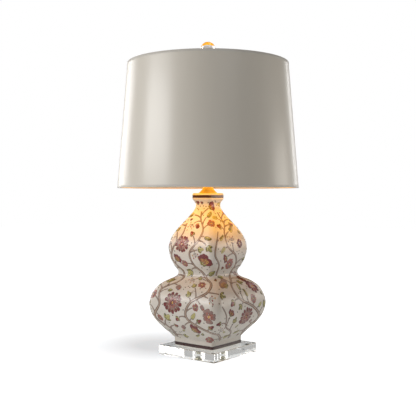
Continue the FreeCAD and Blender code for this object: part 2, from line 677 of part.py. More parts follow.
def bulb_solid(inset):
    """Straight neck, hollow throat and round crown, one arc running on into the next."""
    end = BULB_BASE_BOTTOM + BULB_BASE_LENGTH / 2
    crown = BULB_BASE_TOP + BULB_GLASS_LENGTH - BULB_RADIUS
    rise = crown - BULB_BASE_TOP
    throat = ((rise ** 2 + BULB_NECK_RADIUS ** 2 - BULB_RADIUS ** 2)
              / (2 * (BULB_RADIUS - BULB_NECK_RADIUS)))
    reach = BULB_NECK_RADIUS + throat
    turn = math.degrees(math.atan2(rise, reach))
    neck, top = BULB_NECK_RADIUS - inset, crown + BULB_RADIUS - inset
    return turned([line((0, end), (neck, end)),
                   line((neck, end), (neck, BULB_BASE_TOP)),
                   arc((reach, BULB_BASE_TOP), throat + inset, 180, 180 - turn),
                   arc((0, crown), BULB_RADIUS - inset, -turn, 90),
                   line((0, top), (0, end))])


def bulb_glass():
    return bulb_solid(0).cut(bulb_solid(BULB_GLASS_WALL))


def bulb_stem():
    low = BULB_BASE_BOTTOM + BULB_BASE_WALL
    foot = disc(BULB_NECK_RADIUS - BULB_GLASS_WALL - THREAD_CLEARANCE, low, low + BULB_STEM_START)
    return foot.fuse(disc(BULB_STEM_RADIUS, low + BULB_STEM_START, low + BULB_BASE_LENGTH
                          + BULB_STEM_LENGTH)).removeSplitter()


def bulb_filament():
    """Two lead wires that stand on the stem and hold the coil between them."""
    low = BULB_BASE_BOTTOM + BULB_BASE_WALL + BULB_BASE_LENGTH + BULB_STEM_LENGTH
    high = low + FILAMENT_RISE
    leads = []
    for side in (-1, 1):
        path = rounded_path([Vector(side * BULB_STEM_RADIUS / 2, 0, low),
                             Vector(side * BULB_STEM_RADIUS / 2, 0, low + FILAMENT_RISE / 4),
                             Vector(side * FILAMENT_HALF_SPAN, 0, high)], [LEAD_BEND])
        leads.append(wire_rod(path, FILAMENT_WIRE_RADIUS))
    coil = Part.makeCylinder(FILAMENT_COIL_RADIUS, 2 * FILAMENT_HALF_SPAN,
                             Vector(-FILAMENT_HALF_SPAN, 0, high), Vector(1, 0, 0))
    return coil.fuse(leads).removeSplitter()


# Harp

def harp_wire():
    """Bow of round wire: straight legs, a flare round the bulb, round shoulders."""
    flare = LEG_END + HARP_LEG_STRAIGHT
    half = [Vector(HARP_HALF_FOOT, 0, LEG_END), Vector(HARP_HALF_FOOT, 0, flare),
            Vector(HARP_HALF_WIDTH, 0, flare + HARP_FLARE_HEIGHT),
            Vector(HARP_HALF_WIDTH, 0, HARP_WIRE_TOP)]
    bends = [HARP_FLARE_BEND, HARP_FLARE_BEND, HARP_SHOULDER_BEND]
    other = [Vector(-p.x, 0, p.z) for p in reversed(half)]
    return wire_rod(rounded_path(half + other, bends + bends[::-1]), HARP_WIRE_RADIUS)


def harp_stud():
    """Barrel on the bow, with a flange for the shade and a stud for the finial."""
    barrel_bottom = HARP_WIRE_TOP - STUD_BARREL_HALF_HEIGHT
    flange_bottom = HARP_TOP - STUD_FLANGE_THICKNESS
    stud = turned(outline([(0, barrel_bottom), (STUD_BARREL_RADIUS, barrel_bottom),
                           (STUD_BARREL_RADIUS, flange_bottom), (STUD_FLANGE_RADIUS, flange_bottom),
                           (STUD_FLANGE_RADIUS, HARP_TOP), (STUD_RADIUS, HARP_TOP),
                           (STUD_RADIUS, HARP_TOP + STUD_LENGTH), (0, HARP_TOP + STUD_LENGTH)]))
    hole = Part.makeCylinder(HARP_WIRE_RADIUS + THREAD_CLEARANCE, 2 * STUD_BARREL_RADIUS,
                             Vector(-STUD_BARREL_RADIUS, 0, HARP_WIRE_TOP), Vector(1, 0, 0))
    return stud.cut(hole)


def harp_sleeve(side):
    """Sliding ferrule that locks one leg on its tongue."""
    sleeve = tube(SLEEVE_RADIUS, HARP_WIRE_RADIUS + SLEEVE_CLEARANCE, SADDLE_SHOULDER,
                  SADDLE_SHOULDER + SLEEVE_LENGTH)
    return sleeve.translated(Vector(side * HARP_HALF_FOOT, 0, 0))


# Shade

def shade_radius(level, inset=0.0):
    """Radius of the shade's outside at a level, less an inset."""
    share = (level - SHADE_BOTTOM) / SHADE_HEIGHT
    return SHADE_BOTTOM_RADIUS + (SHADE_TOP_RADIUS - SHADE_BOTTOM_RADIUS) * share - inset


def shade_band(inset, wall, low, high):
    """Cone-shaped band that follows the shade, its outside inset from the shade's own."""
    return turned(outline([(shade_radius(low, inset), low), (shade_radius(high, inset), high),
                           (shade_radius(high, inset + wall), high),
                           (shade_radius(low, inset + wall), low)]))


def shade_shell():
    """Stiff drum wall with the overlap of its seam at the back."""
    wall = shade_band(0, SHADE_WALL, SHADE_BOTTOM, SHADE_TOP)
    low, high = SHADE_BOTTOM + TRIM_HEIGHT + GLUE_GAP, SHADE_TOP - TRIM_HEIGHT - GLUE_GAP
    overlap = shade_band(-SEAM_THICKNESS, SEAM_THICKNESS + SHADE_WALL / 2, low, high)
    strip = Part.makeBox(SEAM_WIDTH, SHADE_BOTTOM_RADIUS, SHADE_HEIGHT,
                         Vector(-SEAM_WIDTH / 2, SHADE_TOP_RADIUS / 2, SHADE_BOTTOM))
    return wall.fuse(overlap.common(strip)).removeSplitter()


def lining_inset():
    return SHADE_WALL + GLUE_GAP


def shade_lining():
    return shade_band(lining_inset(), LINING_WALL, SHADE_BOTTOM, SHADE_TOP)


def trim_inside_inset():
    return lining_inset() + LINING_WALL + GLUE_GAP


def shade_trim(edge, direction):
    """Tape folded over an edge of the shade; direction points from the edge into the shade."""
    inner = trim_inside_inset()
    fold = edge - direction * (TRIM_WALL + GLUE_GAP)
    reach = edge + direction * TRIM_HEIGHT
    profile = [(shade_radius(reach, -GLUE_GAP - TRIM_WALL), reach),
               (shade_radius(fold, -GLUE_GAP - TRIM_WALL), fold),
               (shade_radius(fold, inner + TRIM_WALL), fold),
               (shade_radius(reach, inner + TRIM_WALL), reach),
               (shade_radius(reach, inner), reach),
               (shade_radius(edge, inner), edge - direction * GLUE_GAP),
               (shade_radius(edge, -GLUE_GAP), edge - direction * GLUE_GAP),
               (shade_radius(reach, -GLUE_GAP), reach)]
    return turned(outline(profile))


def ring_centre(edge, direction):
    """Radius and level of a wire ring that lies inside the trim, near an edge."""
    level = edge + direction * 2 * RING_WIRE_RADIUS
    inset = trim_inside_inset() + TRIM_WALL + RING_WIRE_RADIUS + 2 * GLUE_GAP
    return shade_radius(level, inset), level


def shade_ring(edge, direction):
    radius, level = ring_centre(edge, direction)
    return Part.makeTorus(radius, RING_WIRE_RADIUS, Vector(0, 0, level), UP)


def spider_hub():
    return tube(HUB_RADIUS, HUB_HOLE_RADIUS, HARP_TOP, HUB_TOP)


def spider_arms():
    """Three wires from the hub out to the top ring, bent up at their outer ends."""
    ring_radius, ring_level = ring_centre(SHADE_TOP, -1)
    level = (HARP_TOP + HUB_TOP) / 2
    path = rounded_path([Vector(HUB_HOLE_RADIUS + SPIDER_WIRE_RADIUS, 0, level),
                         Vector(ring_radius - SPIDER_RISE_LENGTH, 0, level),
                         Vector(ring_radius, 0, ring_level)], [SPIDER_BEND])
    arm = wire_rod(path, SPIDER_WIRE_RADIUS).cut([spider_hub(), shade_ring(SHADE_TOP, -1)])
    arms = [arm.rotated(ORIGIN, UP, SPIDER_FIRST_ARM_ANGLE + 360 / SPIDER_ARM_COUNT * i)
            for i in range(SPIDER_ARM_COUNT)]
    return Part.makeCompound(arms)


# Finial

def finial_ball():
    return Part.makeSphere(BALL_RADIUS, Vector(0, 0, BALL_CENTRE))


def finial_base():
    """Turned foot, waist and cup; a blind hole takes the stud and the cup takes the ball."""
    low, foot_top = HUB_TOP, HUB_TOP + FINIAL_FOOT_HEIGHT
    side = Part.Arc(Vector(FINIAL_SHOULDER_RADIUS, 0, foot_top),
                    Vector(FINIAL_WAIST_RADIUS, 0, low + FINIAL_WAIST_LEVEL),
                    Vector(FINIAL_CUP_RADIUS, 0, FINIAL_BASE_TOP)).toShape()
    base = turned([line((0, low), (FINIAL_FOOT_RADIUS, low)),
                   line((FINIAL_FOOT_RADIUS, low), (FINIAL_FOOT_RADIUS, foot_top)),
                   line((FINIAL_FOOT_RADIUS, foot_top), (FINIAL_SHOULDER_RADIUS, foot_top)),
                   side,
                   line((FINIAL_CUP_RADIUS, FINIAL_BASE_TOP), (0, FINIAL_BASE_TOP)),
                   line((0, FINIAL_BASE_TOP), (0, low))])
    bore = disc(STUD_RADIUS + FINIAL_BORE_CLEARANCE, low, HARP_TOP + STUD_LENGTH + FINIAL_BORE_SPARE)
    return base.cut([bore, finial_ball()])


PIECES = {
    "base_block": base_block,
    "base_pads": base_pads,
    "base_washer": base_washer,
    "base_nut": base_nut,
    "lamp_pipe": lamp_pipe,
    "gourd_body": gourd_body,
    "cord_bushing": cord_bushing,
    "vase_cap": vase_cap,
    "neck_tube": neck_tube,
    "harp_saddle": harp_saddle,
    "saddle_locknut": saddle_locknut,
    "socket_cap": socket_cap,
    "socket_set_screw": socket_set_screw,
    "socket_shell": socket_shell,
    "socket_liner": socket_liner,
    "switch_body": switch_body,
    "terminal_screws": terminal_screws,
    "screw_shell": screw_shell,
    "centre_contact": centre_contact,
    "switch_stem": switch_stem,
    "switch_knob": switch_knob,
    "bulb_contact": bulb_contact,
    "bulb_insulator": bulb_insulator,
    "bulb_base": bulb_base,
    "bulb_glass": bulb_glass,
    "bulb_stem": bulb_stem,
    "bulb_filament": bulb_filament,
    "harp_wire": harp_wire,
    "harp_stud": harp_stud,
    "harp_sleeve_left": lambda: harp_sleeve(-1),
    "harp_sleeve_right": lambda: harp_sleeve(1),
    "shade_shell": shade_shell,
    "shade_lining": shade_lining,
    "shade_top_trim": lambda: shade_trim(SHADE_TOP, -1),
    "shade_bottom_trim": lambda: shade_trim(SHADE_BOTTOM, 1),
    "shade_top_ring": lambda: shade_ring(SHADE_TOP, -1),
    "shade_bottom_ring": lambda: shade_ring(SHADE_BOTTOM, 1),
    "spider_hub": spider_hub,
    "spider_arms": spider_arms,
    "finial_base": finial_base,
    "finial_ball": finial_ball,
}

os.makedirs("parts", exist_ok=True)
for node, make in PIECES.items():
    shape = make()
    if not shape.isValid():
        print("not valid:", node)
    shape.exportStep("parts/" + node + ".step")
    print(f"{node:18s} solids {len(shape.Solids)}  faces {len(shape.Faces):3d}"
          f"  volume {shape.Volume / 1000:9.2f} cm3")
print(f"gourd top {GOURD_TOP:.1f}, shade {SHADE_BOTTOM:.1f} to {SHADE_TOP:.1f},"
      f" finial top {BALL_CENTRE + BALL_RADIUS:.1f}, bulb from {BULB_BOTTOM:.1f}, knob axis {KNOB_AXIS:.1f}")
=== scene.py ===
# %% [markdown]
# # A square double gourd lamp
#
# The lamp is a painted porcelain body on a clear block, with a drum shade that hides a
# lit bulb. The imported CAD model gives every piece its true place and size. This script
# dresses it: glaze, painted vines, polished acrylic, brass, shade paper and gold foil.
# It works in metres, in the CAD model's own frame, so nothing has to be fitted.

# %% Load the frame
import json
import math
import random

import bmesh
import bpy
import numpy as np
from mathutils import Matrix, Vector
from mathutils.bvhtree import BVHTree


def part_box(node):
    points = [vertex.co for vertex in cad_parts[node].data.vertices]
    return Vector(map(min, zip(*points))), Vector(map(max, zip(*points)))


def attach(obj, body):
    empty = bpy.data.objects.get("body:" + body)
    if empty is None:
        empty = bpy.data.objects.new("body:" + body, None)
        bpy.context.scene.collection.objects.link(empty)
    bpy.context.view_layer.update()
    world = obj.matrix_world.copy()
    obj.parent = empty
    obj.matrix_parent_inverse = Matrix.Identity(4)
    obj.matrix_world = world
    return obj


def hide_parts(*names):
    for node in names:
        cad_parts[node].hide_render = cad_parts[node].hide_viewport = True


MM = 0.001
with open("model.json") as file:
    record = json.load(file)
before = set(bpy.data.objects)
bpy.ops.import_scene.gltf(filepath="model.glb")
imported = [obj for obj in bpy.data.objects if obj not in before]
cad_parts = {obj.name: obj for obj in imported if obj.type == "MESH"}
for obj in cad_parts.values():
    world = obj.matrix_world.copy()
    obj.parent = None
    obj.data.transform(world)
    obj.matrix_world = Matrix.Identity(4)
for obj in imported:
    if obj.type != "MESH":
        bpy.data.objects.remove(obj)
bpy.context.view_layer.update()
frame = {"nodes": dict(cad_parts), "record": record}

# %% [markdown]
# ## The camera
#
# The photo was taken from a little above the middle of the lamp with a lens that is
# slightly long for the frame. Where the straight edges of the base and the curves of the
# shade's two rims fall in the picture gave the distance, the eye's height and the lens.

# %% Camera
CAMERA_AZIMUTH = math.radians(38)
CAMERA_DISTANCE = 1.643
EYE_HEIGHT = 0.3567
CAMERA_PITCH = math.radians(0.96)
PHOTO_SIZE = 416
FOCAL_PIXELS = 727.9

scene = bpy.context.scene
camera_data = bpy.data.cameras.new("camera")
camera_data.sensor_width = 36.0
camera_data.lens = camera_data.sensor_width * FOCAL_PIXELS / PHOTO_SIZE
camera = bpy.data.objects.new("camera", camera_data)
scene.collection.objects.link(camera)
camera.location = (math.sin(CAMERA_AZIMUTH) * CAMERA_DISTANCE,
                   -math.cos(CAMERA_AZIMUTH) * CAMERA_DISTANCE, EYE_HEIGHT)
camera.rotation_euler = (math.pi / 2 - CAMERA_PITCH, 0, CAMERA_AZIMUTH)
scene.camera = camera
print("lens", round(camera_data.lens, 2), "mm")

# %% [markdown]
# ## Material helpers
#
# Every finish is one Principled shader. Three small node groups are shared: one lets a
# colour drift as real pigment does, one breaks up a polish, and one makes fine ripples
# for a Bump node. They read Object coordinates, so a pattern stays on its piece in every
# view and every pose.

# %% Shared node groups
def new_group(name, inputs, outputs):
    """Empty shader group with sockets given as (name, type, default)."""
    group = bpy.data.node_groups.new(name, "ShaderNodeTree")
    for title, kind, value in inputs:
        socket = group.interface.new_socket(title, in_out="INPUT", socket_type=kind)
        if value is not None:
            socket.default_value = value
    for title, kind in outputs:
        group.interface.new_socket(title, in_out="OUTPUT", socket_type=kind)
    return group, group.nodes.new("NodeGroupInput"), group.nodes.new("NodeGroupOutput")


def node(tree, kind, **values):
    """Node of that kind, with its properties and, by name, its input values."""
    made = tree.nodes.new(kind)
    for name, value in values.items():
        if hasattr(made, name):
            setattr(made, name, value)
        else:
            made.inputs[name.replace("_", " ")].default_value = value
    return made


def wire(tree, *links):
    """Links, each given as (from node, its socket, to node, its socket)."""
    for source, out, target, into in links:
        tree.links.new(source.outputs[out], target.inputs[into])


FLOAT, COLOUR, VECTOR = "NodeSocketFloat", "NodeSocketColor", "NodeSocketVector"


def colour_drift_group():
    """Two tones of one colour, mixed by soft noise."""
    group, given, made = new_group("colour drift", [
        ("Vector", VECTOR, None), ("Main", COLOUR, (1, 1, 1, 1)), ("Other", COLOUR, (0, 0, 0, 1)),
        ("Scale", FLOAT, 40.0), ("Amount", FLOAT, 0.5)], [("Colour", COLOUR)])
    noise = node(group, "ShaderNodeTexNoise", Detail=4.0, Roughness=0.6)
    share = node(group, "ShaderNodeMapRange", From_Min=0.35, From_Max=0.7)
    amount = node(group, "ShaderNodeMath", operation="MULTIPLY")
    mix = node(group, "ShaderNodeMix", data_type="RGBA")
    wire(group, (given, "Vector", noise, "Vector"), (given, "Scale", noise, "Scale"),
         (noise, "Fac", share, "Value"), (share, "Result", amount, 0), (given, "Amount", amount, 1),
         (amount, 0, mix, "Factor"), (given, "Main", mix, "A"), (given, "Other", mix, "B"),
         (mix, "Result", made, "Colour"))
    return group


def polish_group():
    """Roughness that wanders between two values."""
    group, given, made = new_group("uneven polish", [
        ("Vector", VECTOR, None), ("Low", FLOAT, 0.2), ("High", FLOAT, 0.4), ("Scale", FLOAT, 60.0)],
        [("Roughness", FLOAT)])
    noise = node(group, "ShaderNodeTexNoise", Detail=3.0)
    spread = node(group, "ShaderNodeMapRange", From_Min=0.3, From_Max=0.7)
    wire(group, (given, "Vector", noise, "Vector"), (given, "Scale", noise, "Scale"),
         (noise, "Fac", spread, "Value"), (given, "Low", spread, "To Min"),
         (given, "High", spread, "To Max"), (spread, "Result", made, "Roughness"))
    return group


def ripple_group():
    """Height of fine noise; the vector's own scale stretches it into grain."""
    group, given, made = new_group("fine ripple", [
        ("Vector", VECTOR, None), ("Scale", FLOAT, 200.0), ("Detail", FLOAT, 2.0)], [("Height", FLOAT)])
    noise = node(group, "ShaderNodeTexNoise", Roughness=0.5)
    wire(group, (given, "Vector", noise, "Vector"), (given, "Scale", noise, "Scale"),
         (given, "Detail", noise, "Detail"), (noise, "Fac", made, "Height"))
    return group


GROUPS = {"drift": colour_drift_group(), "polish": polish_group(), "ripple": ripple_group()}
print("node groups", [group.name for group in GROUPS.values()])

# %% [markdown]
# A colour is written the way a picker shows it, from 0 to 255, and turned into the
# linear value that the shader wants. `finish` makes a material with the groups already
# in place, so each finish below is only its own numbers.

# %% One finish
BUMP_DEPTH = 0.0005


def paint(red, green, blue):
    """Linear colour from a picker's 0 to 255 values."""
    linear = []
    for part in (red, green, blue):
        share = part / 255
        linear.append(share / 12.92 if share <= 0.04045 else ((share + 0.055) / 1.055) ** 2.4)
    return (*linear, 1.0)


def place_group(tree, key, **values):
    """One of the shared groups, with its input values."""
    made = tree.nodes.new("ShaderNodeGroup")
    made.node_tree = GROUPS[key]
    for name, value in values.items():
        made.inputs[name].default_value = value
    return made


def finish(name, main, other, drift=40.0, amount=0.5, polish=(0.3, 0.5), polish_scale=60.0,
           bump=0.0, bump_scale=300.0, stretch=(1, 1, 1), **shader_values):
    """Principled material with drifting colour, uneven polish and fine ripples."""
    material = bpy.data.materials.new(name)
    material.use_nodes = True
    tree = material.node_tree
    shader = tree.nodes["Principled BSDF"]
    place = tree.nodes.new("ShaderNodeTexCoord")
    mapping = node(tree, "ShaderNodeMapping")
    mapping.inputs["Scale"].default_value = stretch
    tone = place_group(tree, "drift", Main=paint(*main), Other=paint(*other), Scale=drift, Amount=amount)
    gloss = place_group(tree, "polish", Low=polish[0], High=polish[1], Scale=polish_scale)
    wire(tree, (place, "Object", mapping, "Vector"), (mapping, "Vector", tone, "Vector"),
         (tone, "Colour", shader, "Base Color"), (mapping, "Vector", gloss, "Vector"),
         (gloss, "Roughness", shader, "Roughness"))
    if bump:
        ripple = place_group(tree, "ripple", Scale=bump_scale)
        height = node(tree, "ShaderNodeBump", Strength=bump, Distance=BUMP_DEPTH)
        wire(tree, (mapping, "Vector", ripple, "Vector"), (ripple, "Height", height, "Height"),
             (height, "Normal", shader, "Normal"))
    for title, value in shader_values.items():
        shader.inputs[title.replace("_", " ")].default_value = value
    return material


def dress(piece, material):
    """The material in every slot of the piece."""
    piece.data.materials.clear()
    piece.data.materials.append(material)


print("mid grey", [round(part, 3) for part in paint(128, 128, 128)[:3]])

# %% [markdown]
# ## Finishes
#
# The glaze is a warm white with a faint crackle, so its material gets two more textures
# of its own: a Voronoi edge pattern for the crackle lines and a scatter of iron specks.

# %% Porcelain glaze
GLAZE = (214, 206, 195)
GLAZE_SHADE = (200, 191, 178)
CRACKLE_SIZE = 260.0


def porcelain():
    """Glaze with crackle lines and specks mixed over its drifting white."""
    material = finish("porcelain glaze", GLAZE, GLAZE_SHADE, drift=26.0, amount=0.7, polish=(0.34, 0.46),
                      polish_scale=45.0, bump=0.12, bump_scale=170.0, Coat_Weight=0.18, Coat_Roughness=0.22)
    tree = material.node_tree
    shader = tree.nodes["Principled BSDF"]
    mapping = tree.nodes["Mapping"]
    tone = shader.inputs["Base Color"].links[0].from_node
    cells = node(tree, "ShaderNodeTexVoronoi", feature="DISTANCE_TO_EDGE", Scale=CRACKLE_SIZE)
    line = node(tree, "ShaderNodeMapRange", From_Max=0.05, To_Min=0.30, To_Max=0.0)
    specks = node(tree, "ShaderNodeTexNoise", Scale=900.0, Detail=2.0)
    speck = node(tree, "ShaderNodeMapRange", From_Min=0.70, From_Max=0.78, To_Max=0.22)
    either = node(tree, "ShaderNodeMath", operation="MAXIMUM")
    mix = node(tree, "ShaderNodeMix", data_type="RGBA")
    mix.inputs["B"].default_value = paint(150, 128, 108)
    wire(tree, (mapping, "Vector", cells, "Vector"), (mapping, "Vector", specks, "Vector"),
         (cells, "Distance", line, "Value"), (specks, "Fac", speck, "Value"), (line, "Result", either, 0),
         (speck, "Result", either, 1), (either, 0, mix, "Factor"), (tone, "Colour", mix, "A"),
         (mix, "Result", shader, "Base Color"))
    return material


PORCELAIN = porcelain()
print("glaze nodes", len(PORCELAIN.node_tree.nodes))

# %% [markdown]
# The painted colours are enamels: thin, slightly raised and glossy. Each has a lighter
# and a darker tone that drift into each other over a few millimetres, as brushwork does.

# %% Enamel colours
def enamel(name, main, other, drift=160.0):
    """Glossy paint in two tones."""
    return finish(name, main, other, drift=drift, amount=0.9, polish=(0.25, 0.4), Coat_Weight=0.2,
                  Coat_Roughness=0.1)


ENAMELS = {
    "line": enamel("brown line", (84, 54, 42), (58, 38, 31)),
    "band": enamel("brown band", (66, 33, 26), (46, 22, 18), 60.0),
    "bark": enamel("taupe bark", (142, 116, 98), (112, 88, 74), 90.0),
    "light_bark": enamel("pale bark", (184, 164, 144), (158, 134, 114), 90.0),
    "leaf": enamel("olive leaf", (136, 126, 66), (92, 92, 48)),
    "light_leaf": enamel("yellow leaf", (190, 180, 118), (160, 152, 84)),
    "dark_leaf": enamel("dark leaf", (98, 98, 58), (74, 74, 50)),
    "olive_leaf": enamel("dull leaf", (152, 146, 84), (120, 118, 66)),
    "wine": enamel("wine petal", (122, 44, 38), (90, 32, 32)),
    "rose": enamel("rose petal", (170, 104, 86), (142, 72, 64)),
    "mauve": enamel("mauve petal", (152, 122, 110), (122, 92, 86)),
    "ochre": enamel("ochre centre", (202, 156, 76), (170, 118, 50)),
    "berry": enamel("red berry", (150, 52, 44), (112, 34, 34)),
}
print("enamels", len(ENAMELS))

# %% [markdown]
# The hardware is brass, polished where it is handled and satin on the cap and the neck,
# and plated steel where nobody looks. The shade's paper has a soft lacquer coat, which
# draws the long highlights down its sides. The gold foil is only partly metallic: a full
# mirror would show the empty room in place of the gold.

# %% Metals, paper and plastics
BRASS = finish("antique brass", (234, 198, 94), (212, 172, 72), drift=70.0, polish=(0.22, 0.38),
               bump=0.1, bump_scale=500.0, Metallic=1.0)
SATIN_BRASS = finish("satin brass", (248, 226, 146), (236, 208, 122), drift=70.0,
                     polish=(0.46, 0.58), bump=0.1, bump_scale=500.0, Metallic=0.85)
BRIGHT_BRASS = finish("bright brass", (214, 176, 104), (196, 152, 82), drift=90.0,
                      polish=(0.15, 0.25), Metallic=1.0)
PLATED = finish("plated steel", (196, 192, 178), (170, 164, 140), drift=110.0,
                polish=(0.25, 0.4), Metallic=1.0)
NICKEL = finish("nickel cap", (205, 205, 204), (180, 180, 182), drift=90.0,
                polish=(0.15, 0.3), Metallic=1.0)
PHENOLIC = finish("black phenolic", (38, 30, 27), (52, 40, 34), drift=120.0,
                  polish=(0.3, 0.45), bump=0.15)
FIBRE = finish("fibre sleeve", (150, 118, 84), (124, 94, 64), drift=140.0,
               polish=(0.7, 0.85), bump=0.4)
NYLON = finish("dark nylon", (44, 36, 32), (58, 48, 42), drift=150.0, polish=(0.4, 0.55), bump=0.2)
WHITE_WIRE = finish("white wire", (222, 219, 210), (204, 199, 188), drift=80.0,
                    polish=(0.35, 0.5), bump=0.15)
SHADE_PAPER = finish("shade paper", (208, 200, 187), (203, 194, 180), drift=9.0, amount=0.6,
                     polish=(0.36, 0.44), polish_scale=12.0, bump=0.05, bump_scale=900.0,
                     stretch=(1, 1, 0.12), Coat_Weight=0.25, Coat_Roughness=0.22)
EDGE_TAPE = finish("edge tape", (200, 194, 184), (190, 183, 172), drift=30.0,
                   polish=(0.42, 0.55), bump=0.12, bump_scale=700.0)
GOLD_FOIL = finish("gold foil", (226, 170, 74), (206, 146, 56), drift=30.0, amount=0.7,
                   polish=(0.3, 0.48), polish_scale=90.0, bump=0.3, bump_scale=260.0, Metallic=0.7)
print("finishes so far", len(bpy.data.materials))

# %% [markdown]
# Glass and acrylic have one colour all through, so a texture has no place in them. The
# base block, the finial's ball, the bulb's stem and the bumper pads differ only in how
# strongly they bend light and how clear their surface is.

# %% Clear finishes
def clear(name, ior, tint=(255, 255, 255), roughness=0.0):
    """Clear solid: its colour and gloss stay on the shader's own sockets."""
    material = bpy.data.materials.new(name)
    material.use_nodes = True
    shader = material.node_tree.nodes["Principled BSDF"]
    shader.inputs["Base Color"].default_value = paint(*tint)
    shader.inputs["Roughness"].default_value = roughness
    shader.inputs["IOR"].default_value = ior
    shader.inputs["Transmission Weight"].default_value = 1.0
    return material


ACRYLIC = clear("clear acrylic", 1.49, (252, 252, 250))
CRYSTAL = clear("crystal", 1.52)
STEM_GLASS = clear("stem glass", 1.5, roughness=0.05)
PAD = clear("clear bumper", 1.46, (238, 238, 232), 0.3)
print("clear finishes", [made.name for made in (ACRYLIC, CRYSTAL, STEM_GLASS, PAD)])

# %% [markdown]
# The bulb is lit. Its frosted glass and filament glow, and so does the gold foil, which
# in the real lamp is the bulb's light thrown back. The glow drifts with the foil's own
# crinkle, so it isn't one flat colour.

# %% Glowing finishes
def glowing(material, low, high, scale, strength):
    """Adds a glow whose colour drifts between two tones."""
    tree = material.node_tree
    shader = tree.nodes["Principled BSDF"]
    place = tree.nodes.get("Texture Coordinate") or tree.nodes.new("ShaderNodeTexCoord")
    tone = place_group(tree, "drift", Main=paint(*high), Other=paint(*low), Scale=scale, Amount=0.8)
    wire(tree, (place, "Object", tone, "Vector"), (tone, "Colour", shader, "Emission Color"))
    shader.inputs["Emission Strength"].default_value = strength
    return material


FOIL_GLOW = 0.8
BULB_GLOW = 1.0
glowing(GOLD_FOIL, (242, 166, 24), (250, 182, 36), 14.0, FOIL_GLOW)
FILAMENT_GLOW = 2 * BULB_GLOW
LIT_GLASS = glowing(finish("lit bulb glass", (250, 238, 214), (244, 228, 198), polish=(0.35, 0.5)),
                    (255, 214, 140), (255, 230, 172), 30.0, BULB_GLOW)
FILAMENT = glowing(finish("filament", (240, 200, 140), (220, 170, 110), Metallic=1.0),
                   (255, 190, 90), (255, 214, 130), 90.0, FILAMENT_GLOW)
print("finishes", len(bpy.data.materials))

# %% [markdown]
# ## Smooth copies of turned pieces
#
# A CAD mesh is loose triangles, so a turned piece shows small facets under a highlight.
# The way round is a copy with its doubles merged, shaded smooth and with its real edges
# kept sharp. The copy stands for the CAD node and stays exactly where it is.

# %% Copying and placing pieces
SHARP_ANGLE = math.radians(32)
MERGE_DISTANCE = 0.001 * MM


def add_piece(name, bm, body, material, stands_for, smooth_angle=SHARP_ANGLE):
    """Object from a bmesh: smooth but for its sharp edges, dressed and riding on its body."""
    for face in bm.faces:
        face.smooth = True
    for edge in bm.edges:
        edge.smooth = len(edge.link_faces) == 2 and edge.calc_face_angle(0.0) < smooth_angle
    mesh = bpy.data.meshes.new(name)
    bm.to_mesh(mesh)
    bm.free()
    piece = bpy.data.objects.new(name, mesh)
    scene.collection.objects.link(piece)
    dress(piece, material)
    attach(piece, body)
    if stands_for:
        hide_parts(*stands_for)
    return piece


def body_of(cad_name):
    """Name of the body that a CAD node rides on."""
    return next(name for name, nodes in frame["record"]["behaviour"]["bodies"].items() if cad_name in nodes)


def smooth_copy(cad_name, name, material):
    """Merged and smoothed copy that stands for a CAD node."""
    bm = bmesh.new()
    bm.from_mesh(frame["nodes"][cad_name].data)
    bmesh.ops.remove_doubles(bm, verts=bm.verts, dist=MERGE_DISTANCE)
    return add_piece(name, bm, body_of(cad_name), material, (cad_name,))


gourd = smooth_copy("gourd_body", "porcelain_body", PORCELAIN)
print("porcelain faces", len(gourd.data.polygons))

# %% [markdown]
# The rest of the turned hardware gets the same copy. Flat and square pieces have no
# facets to hide, so they keep their CAD mesh and are only given a finish.

# %% Hardware
ROUND_PIECES = {
    "neck_tube": SATIN_BRASS, "harp_saddle": BRASS, "socket_cap": BRASS, "socket_shell": BRASS,
    "harp_wire": BRASS, "harp_stud": BRASS, "harp_sleeve_left": BRASS, "harp_sleeve_right": BRASS,
    "finial_base": BRASS, "spider_hub": BRASS, "lamp_pipe": PLATED, "screw_shell": BRIGHT_BRASS,
    "spider_arms": WHITE_WIRE, "shade_top_ring": WHITE_WIRE, "shade_bottom_ring": WHITE_WIRE,
    "switch_knob": PHENOLIC, "bulb_glass": LIT_GLASS, "bulb_base": NICKEL, "bulb_insulator": PHENOLIC,
    "bulb_stem": STEM_GLASS, "bulb_filament": FILAMENT, "cord_bushing": NYLON,
}
for cad_name, material in ROUND_PIECES.items():
    smooth_copy(cad_name, cad_name.replace("_", "-"), material)

PLAIN_PIECES = {
    "base_block": ACRYLIC, "base_pads": PAD, "base_washer": PLATED, "base_nut": PLATED,
    "saddle_locknut": PLATED, "socket_set_screw": PLATED, "socket_liner": FIBRE,
    "switch_body": PHENOLIC, "terminal_screws": BRIGHT_BRASS, "centre_contact": BRIGHT_BRASS,
    "switch_stem": BRIGHT_BRASS, "bulb_contact": BRIGHT_BRASS,
}
for cad_name, material in PLAIN_PIECES.items():
    dress(frame["nodes"][cad_name], material)
print("smoothed", len(ROUND_PIECES), "plain", len(PLAIN_PIECES))

# %% [markdown]
# ## Shade, lining and edge tapes
#
# The shade is stiff paper rolled into a cone, with gold foil inside. A cylinder could be
# tapered, but a spin of the wall's own outline gives it its true thickness at once, and
# with many steps its rim stays round in the picture.

# %% Turned walls
SPIN_STEPS = 256
SPIN_MERGE = 0.005 * MM
LEVEL_REACH = 0.3 * MM
AXIS_FOOT = (0, 0, 0)


